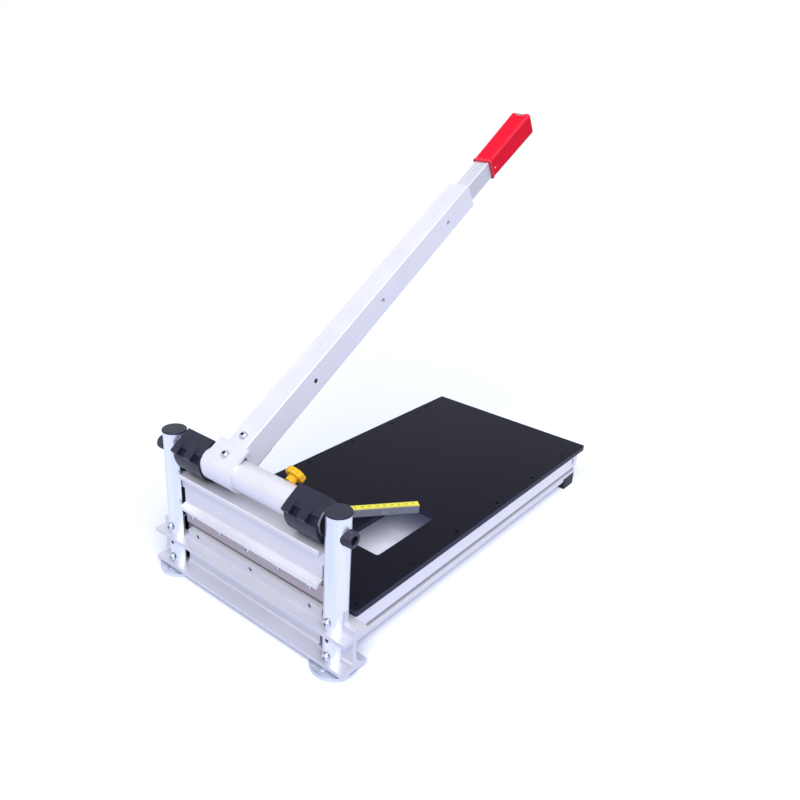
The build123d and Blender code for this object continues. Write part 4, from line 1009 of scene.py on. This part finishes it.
class CUTTER_OT_stage(CutterOperator, bpy.types.Operator):
    """Make the studio floor, the lights and the camera"""
    bl_idname = "cutter.stage"
    bl_label = "Studio"

    def execute(self, context):
        context.scene.view_settings.view_transform = "Standard"
        self.floor(context)
        self.world(context)
        self.lamp(context, "soft_box", colours().sun, *SOFT_BOX)
        self.lamp(context, "side_panel", colours().side, *SIDE_PANEL)
        self.camera(context)
        return {"FINISHED"}

    def floor(self, context):
        bm = bmesh.new()
        bmesh.ops.create_grid(bm, x_segments=4, y_segments=4, size=FLOOR_HALF)
        mesh = bpy.data.meshes.new("studio_floor")
        bm.to_mesh(mesh)
        bm.free()
        # Matt white paint: pale and even, without shine
        made, add = surface("matt_white_floor")
        seen = self.seen(add)
        tones = {"Factor": seen, 6: rgba(colours().bounce), 7: rgba(colours().floor)}
        paint = add("BsdfDiffuse", {"Color": add("Mix", tones, data_type="RGBA")[2]})
        lift = add("Math", {0: seen, 1: HAZE}, operation="MULTIPLY")["Value"]
        haze = add("Emission", {"Color": rgba(colours().haze), "Strength": lift})
        both = add("AddShader", {0: paint["BSDF"], 1: haze["Emission"]})
        add("OutputMaterial", {"Surface": both["Shader"]})
        mesh.materials.append(made)
        floor = bpy.data.objects.new("studio_floor", mesh)
        context.scene.collection.objects.link(floor)

    def world(self, context):
        made, add = emptied(bpy.data.worlds.new("white_studio"))
        shade = add("Background", {"Color": rgba(colours().shade), "Strength": ROOM_LIGHT})
        white = add("Background", {"Color": rgba(linear("ffffff"))})
        both = {"Fac": self.seen(add), 1: shade["Background"], 2: white["Background"]}
        add("OutputWorld", {"Surface": add("MixShader", both)["Shader"]})
        context.scene.world = made

    def seen(self, add):
        """One for rays that show the studio to the eye, directly, in metal or through glass."""
        path = add("LightPath")
        first = add("Math", {0: path["Diffuse Depth"], 1: 0.5}, operation="LESS_THAN")["Value"]
        shine = add("Math", {0: path["Is Glossy Ray"], 1: first}, operation="MULTIPLY")["Value"]
        seen = add("Math", {0: path["Is Camera Ray"], 1: shine}, operation="MAXIMUM")["Value"]
        seen = {0: seen, 1: path["Is Transmission Ray"]}
        return add("Math", seen, operation="MAXIMUM")["Value"]

    def lamp(self, context, name, tint, energy, width, direction):
        light = bpy.data.lights.new(name, "SUN")
        light.energy = energy
        light.angle = math.radians(width)
        light.color = tint
        lamp = bpy.data.objects.new(name, light)
        lamp.rotation_euler = Vector(direction).to_track_quat("Z", "Y").to_euler()
        context.scene.collection.objects.link(lamp)

    def camera(self, context):
        level = Vector((math.cos(CAMERA_SWING), math.sin(CAMERA_SWING), 0.0))
        flat = math.cos(CAMERA_DROP)
        ahead = Vector((-level.y * flat, level.x * flat, -math.sin(CAMERA_DROP)))
        above = level.cross(ahead)
        right = math.cos(CAMERA_ROLL) * level + math.sin(CAMERA_ROLL) * above
        up = right.cross(ahead)
        turned = Matrix((right, up, -ahead)).transposed().to_4x4()
        lens = bpy.data.cameras.new("photo_camera")
        lens.sensor_width = 36.0
        lens.lens = CAMERA_LENS
        lens.clip_end = 50.0
        camera = bpy.data.objects.new(lens.name, lens)
        camera.matrix_world = Matrix.Translation(CAMERA_PLACE) @ turned
        context.scene.collection.objects.link(camera)
        context.scene.camera = camera


class CUTTER_PT_panel(bpy.types.Panel):
    """Lists the cutter's pieces, sizes and colours"""
    bl_idname = "CUTTER_PT_panel"
    bl_label = "Flooring cutter"
    bl_space_type = "VIEW_3D"
    bl_region_type = "UI"
    bl_category = "Flooring cutter"

    def draw(self, context):
        for operator in OPERATORS:
            self.layout.operator(operator.bl_idname)
        for group in (context.scene.cutter_sizes, context.scene.cutter_colours):
            box = self.layout.box()
            for name in group.bl_rna.properties.keys():
                if name not in {"rna_type", "name"}:
                    box.prop(group, name)


OPERATORS = (
    CUTTER_OT_stage,
    CUTTER_OT_extrusions,
    CUTTER_OT_steel,
    CUTTER_OT_plastics,
    CUTTER_OT_grip,
    CUTTER_OT_table,
    CUTTER_OT_screws,
    CUTTER_OT_clamp_bolts,
    CUTTER_OT_pivot_screws,
    CUTTER_OT_springs,
    CUTTER_OT_ruler,
)
CLASSES = (CutterColours, CutterSizes, *OPERATORS, CUTTER_PT_panel)


def register():
    for kind in CLASSES:
        bpy.utils.register_class(kind)
    bpy.types.Scene.cutter_colours = PointerProperty(type=CutterColours)
    bpy.types.Scene.cutter_sizes = PointerProperty(type=CutterSizes)


def unregister():
    del bpy.types.Scene.cutter_sizes
    del bpy.types.Scene.cutter_colours
    for kind in reversed(CLASSES):
        bpy.utils.unregister_class(kind)


def main():
    """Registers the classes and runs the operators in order."""
    register()
    for operator in OPERATORS:
        getattr(bpy.ops.cutter, operator.bl_idname.split(".")[1])()


if __name__ == "__main__":
    main()
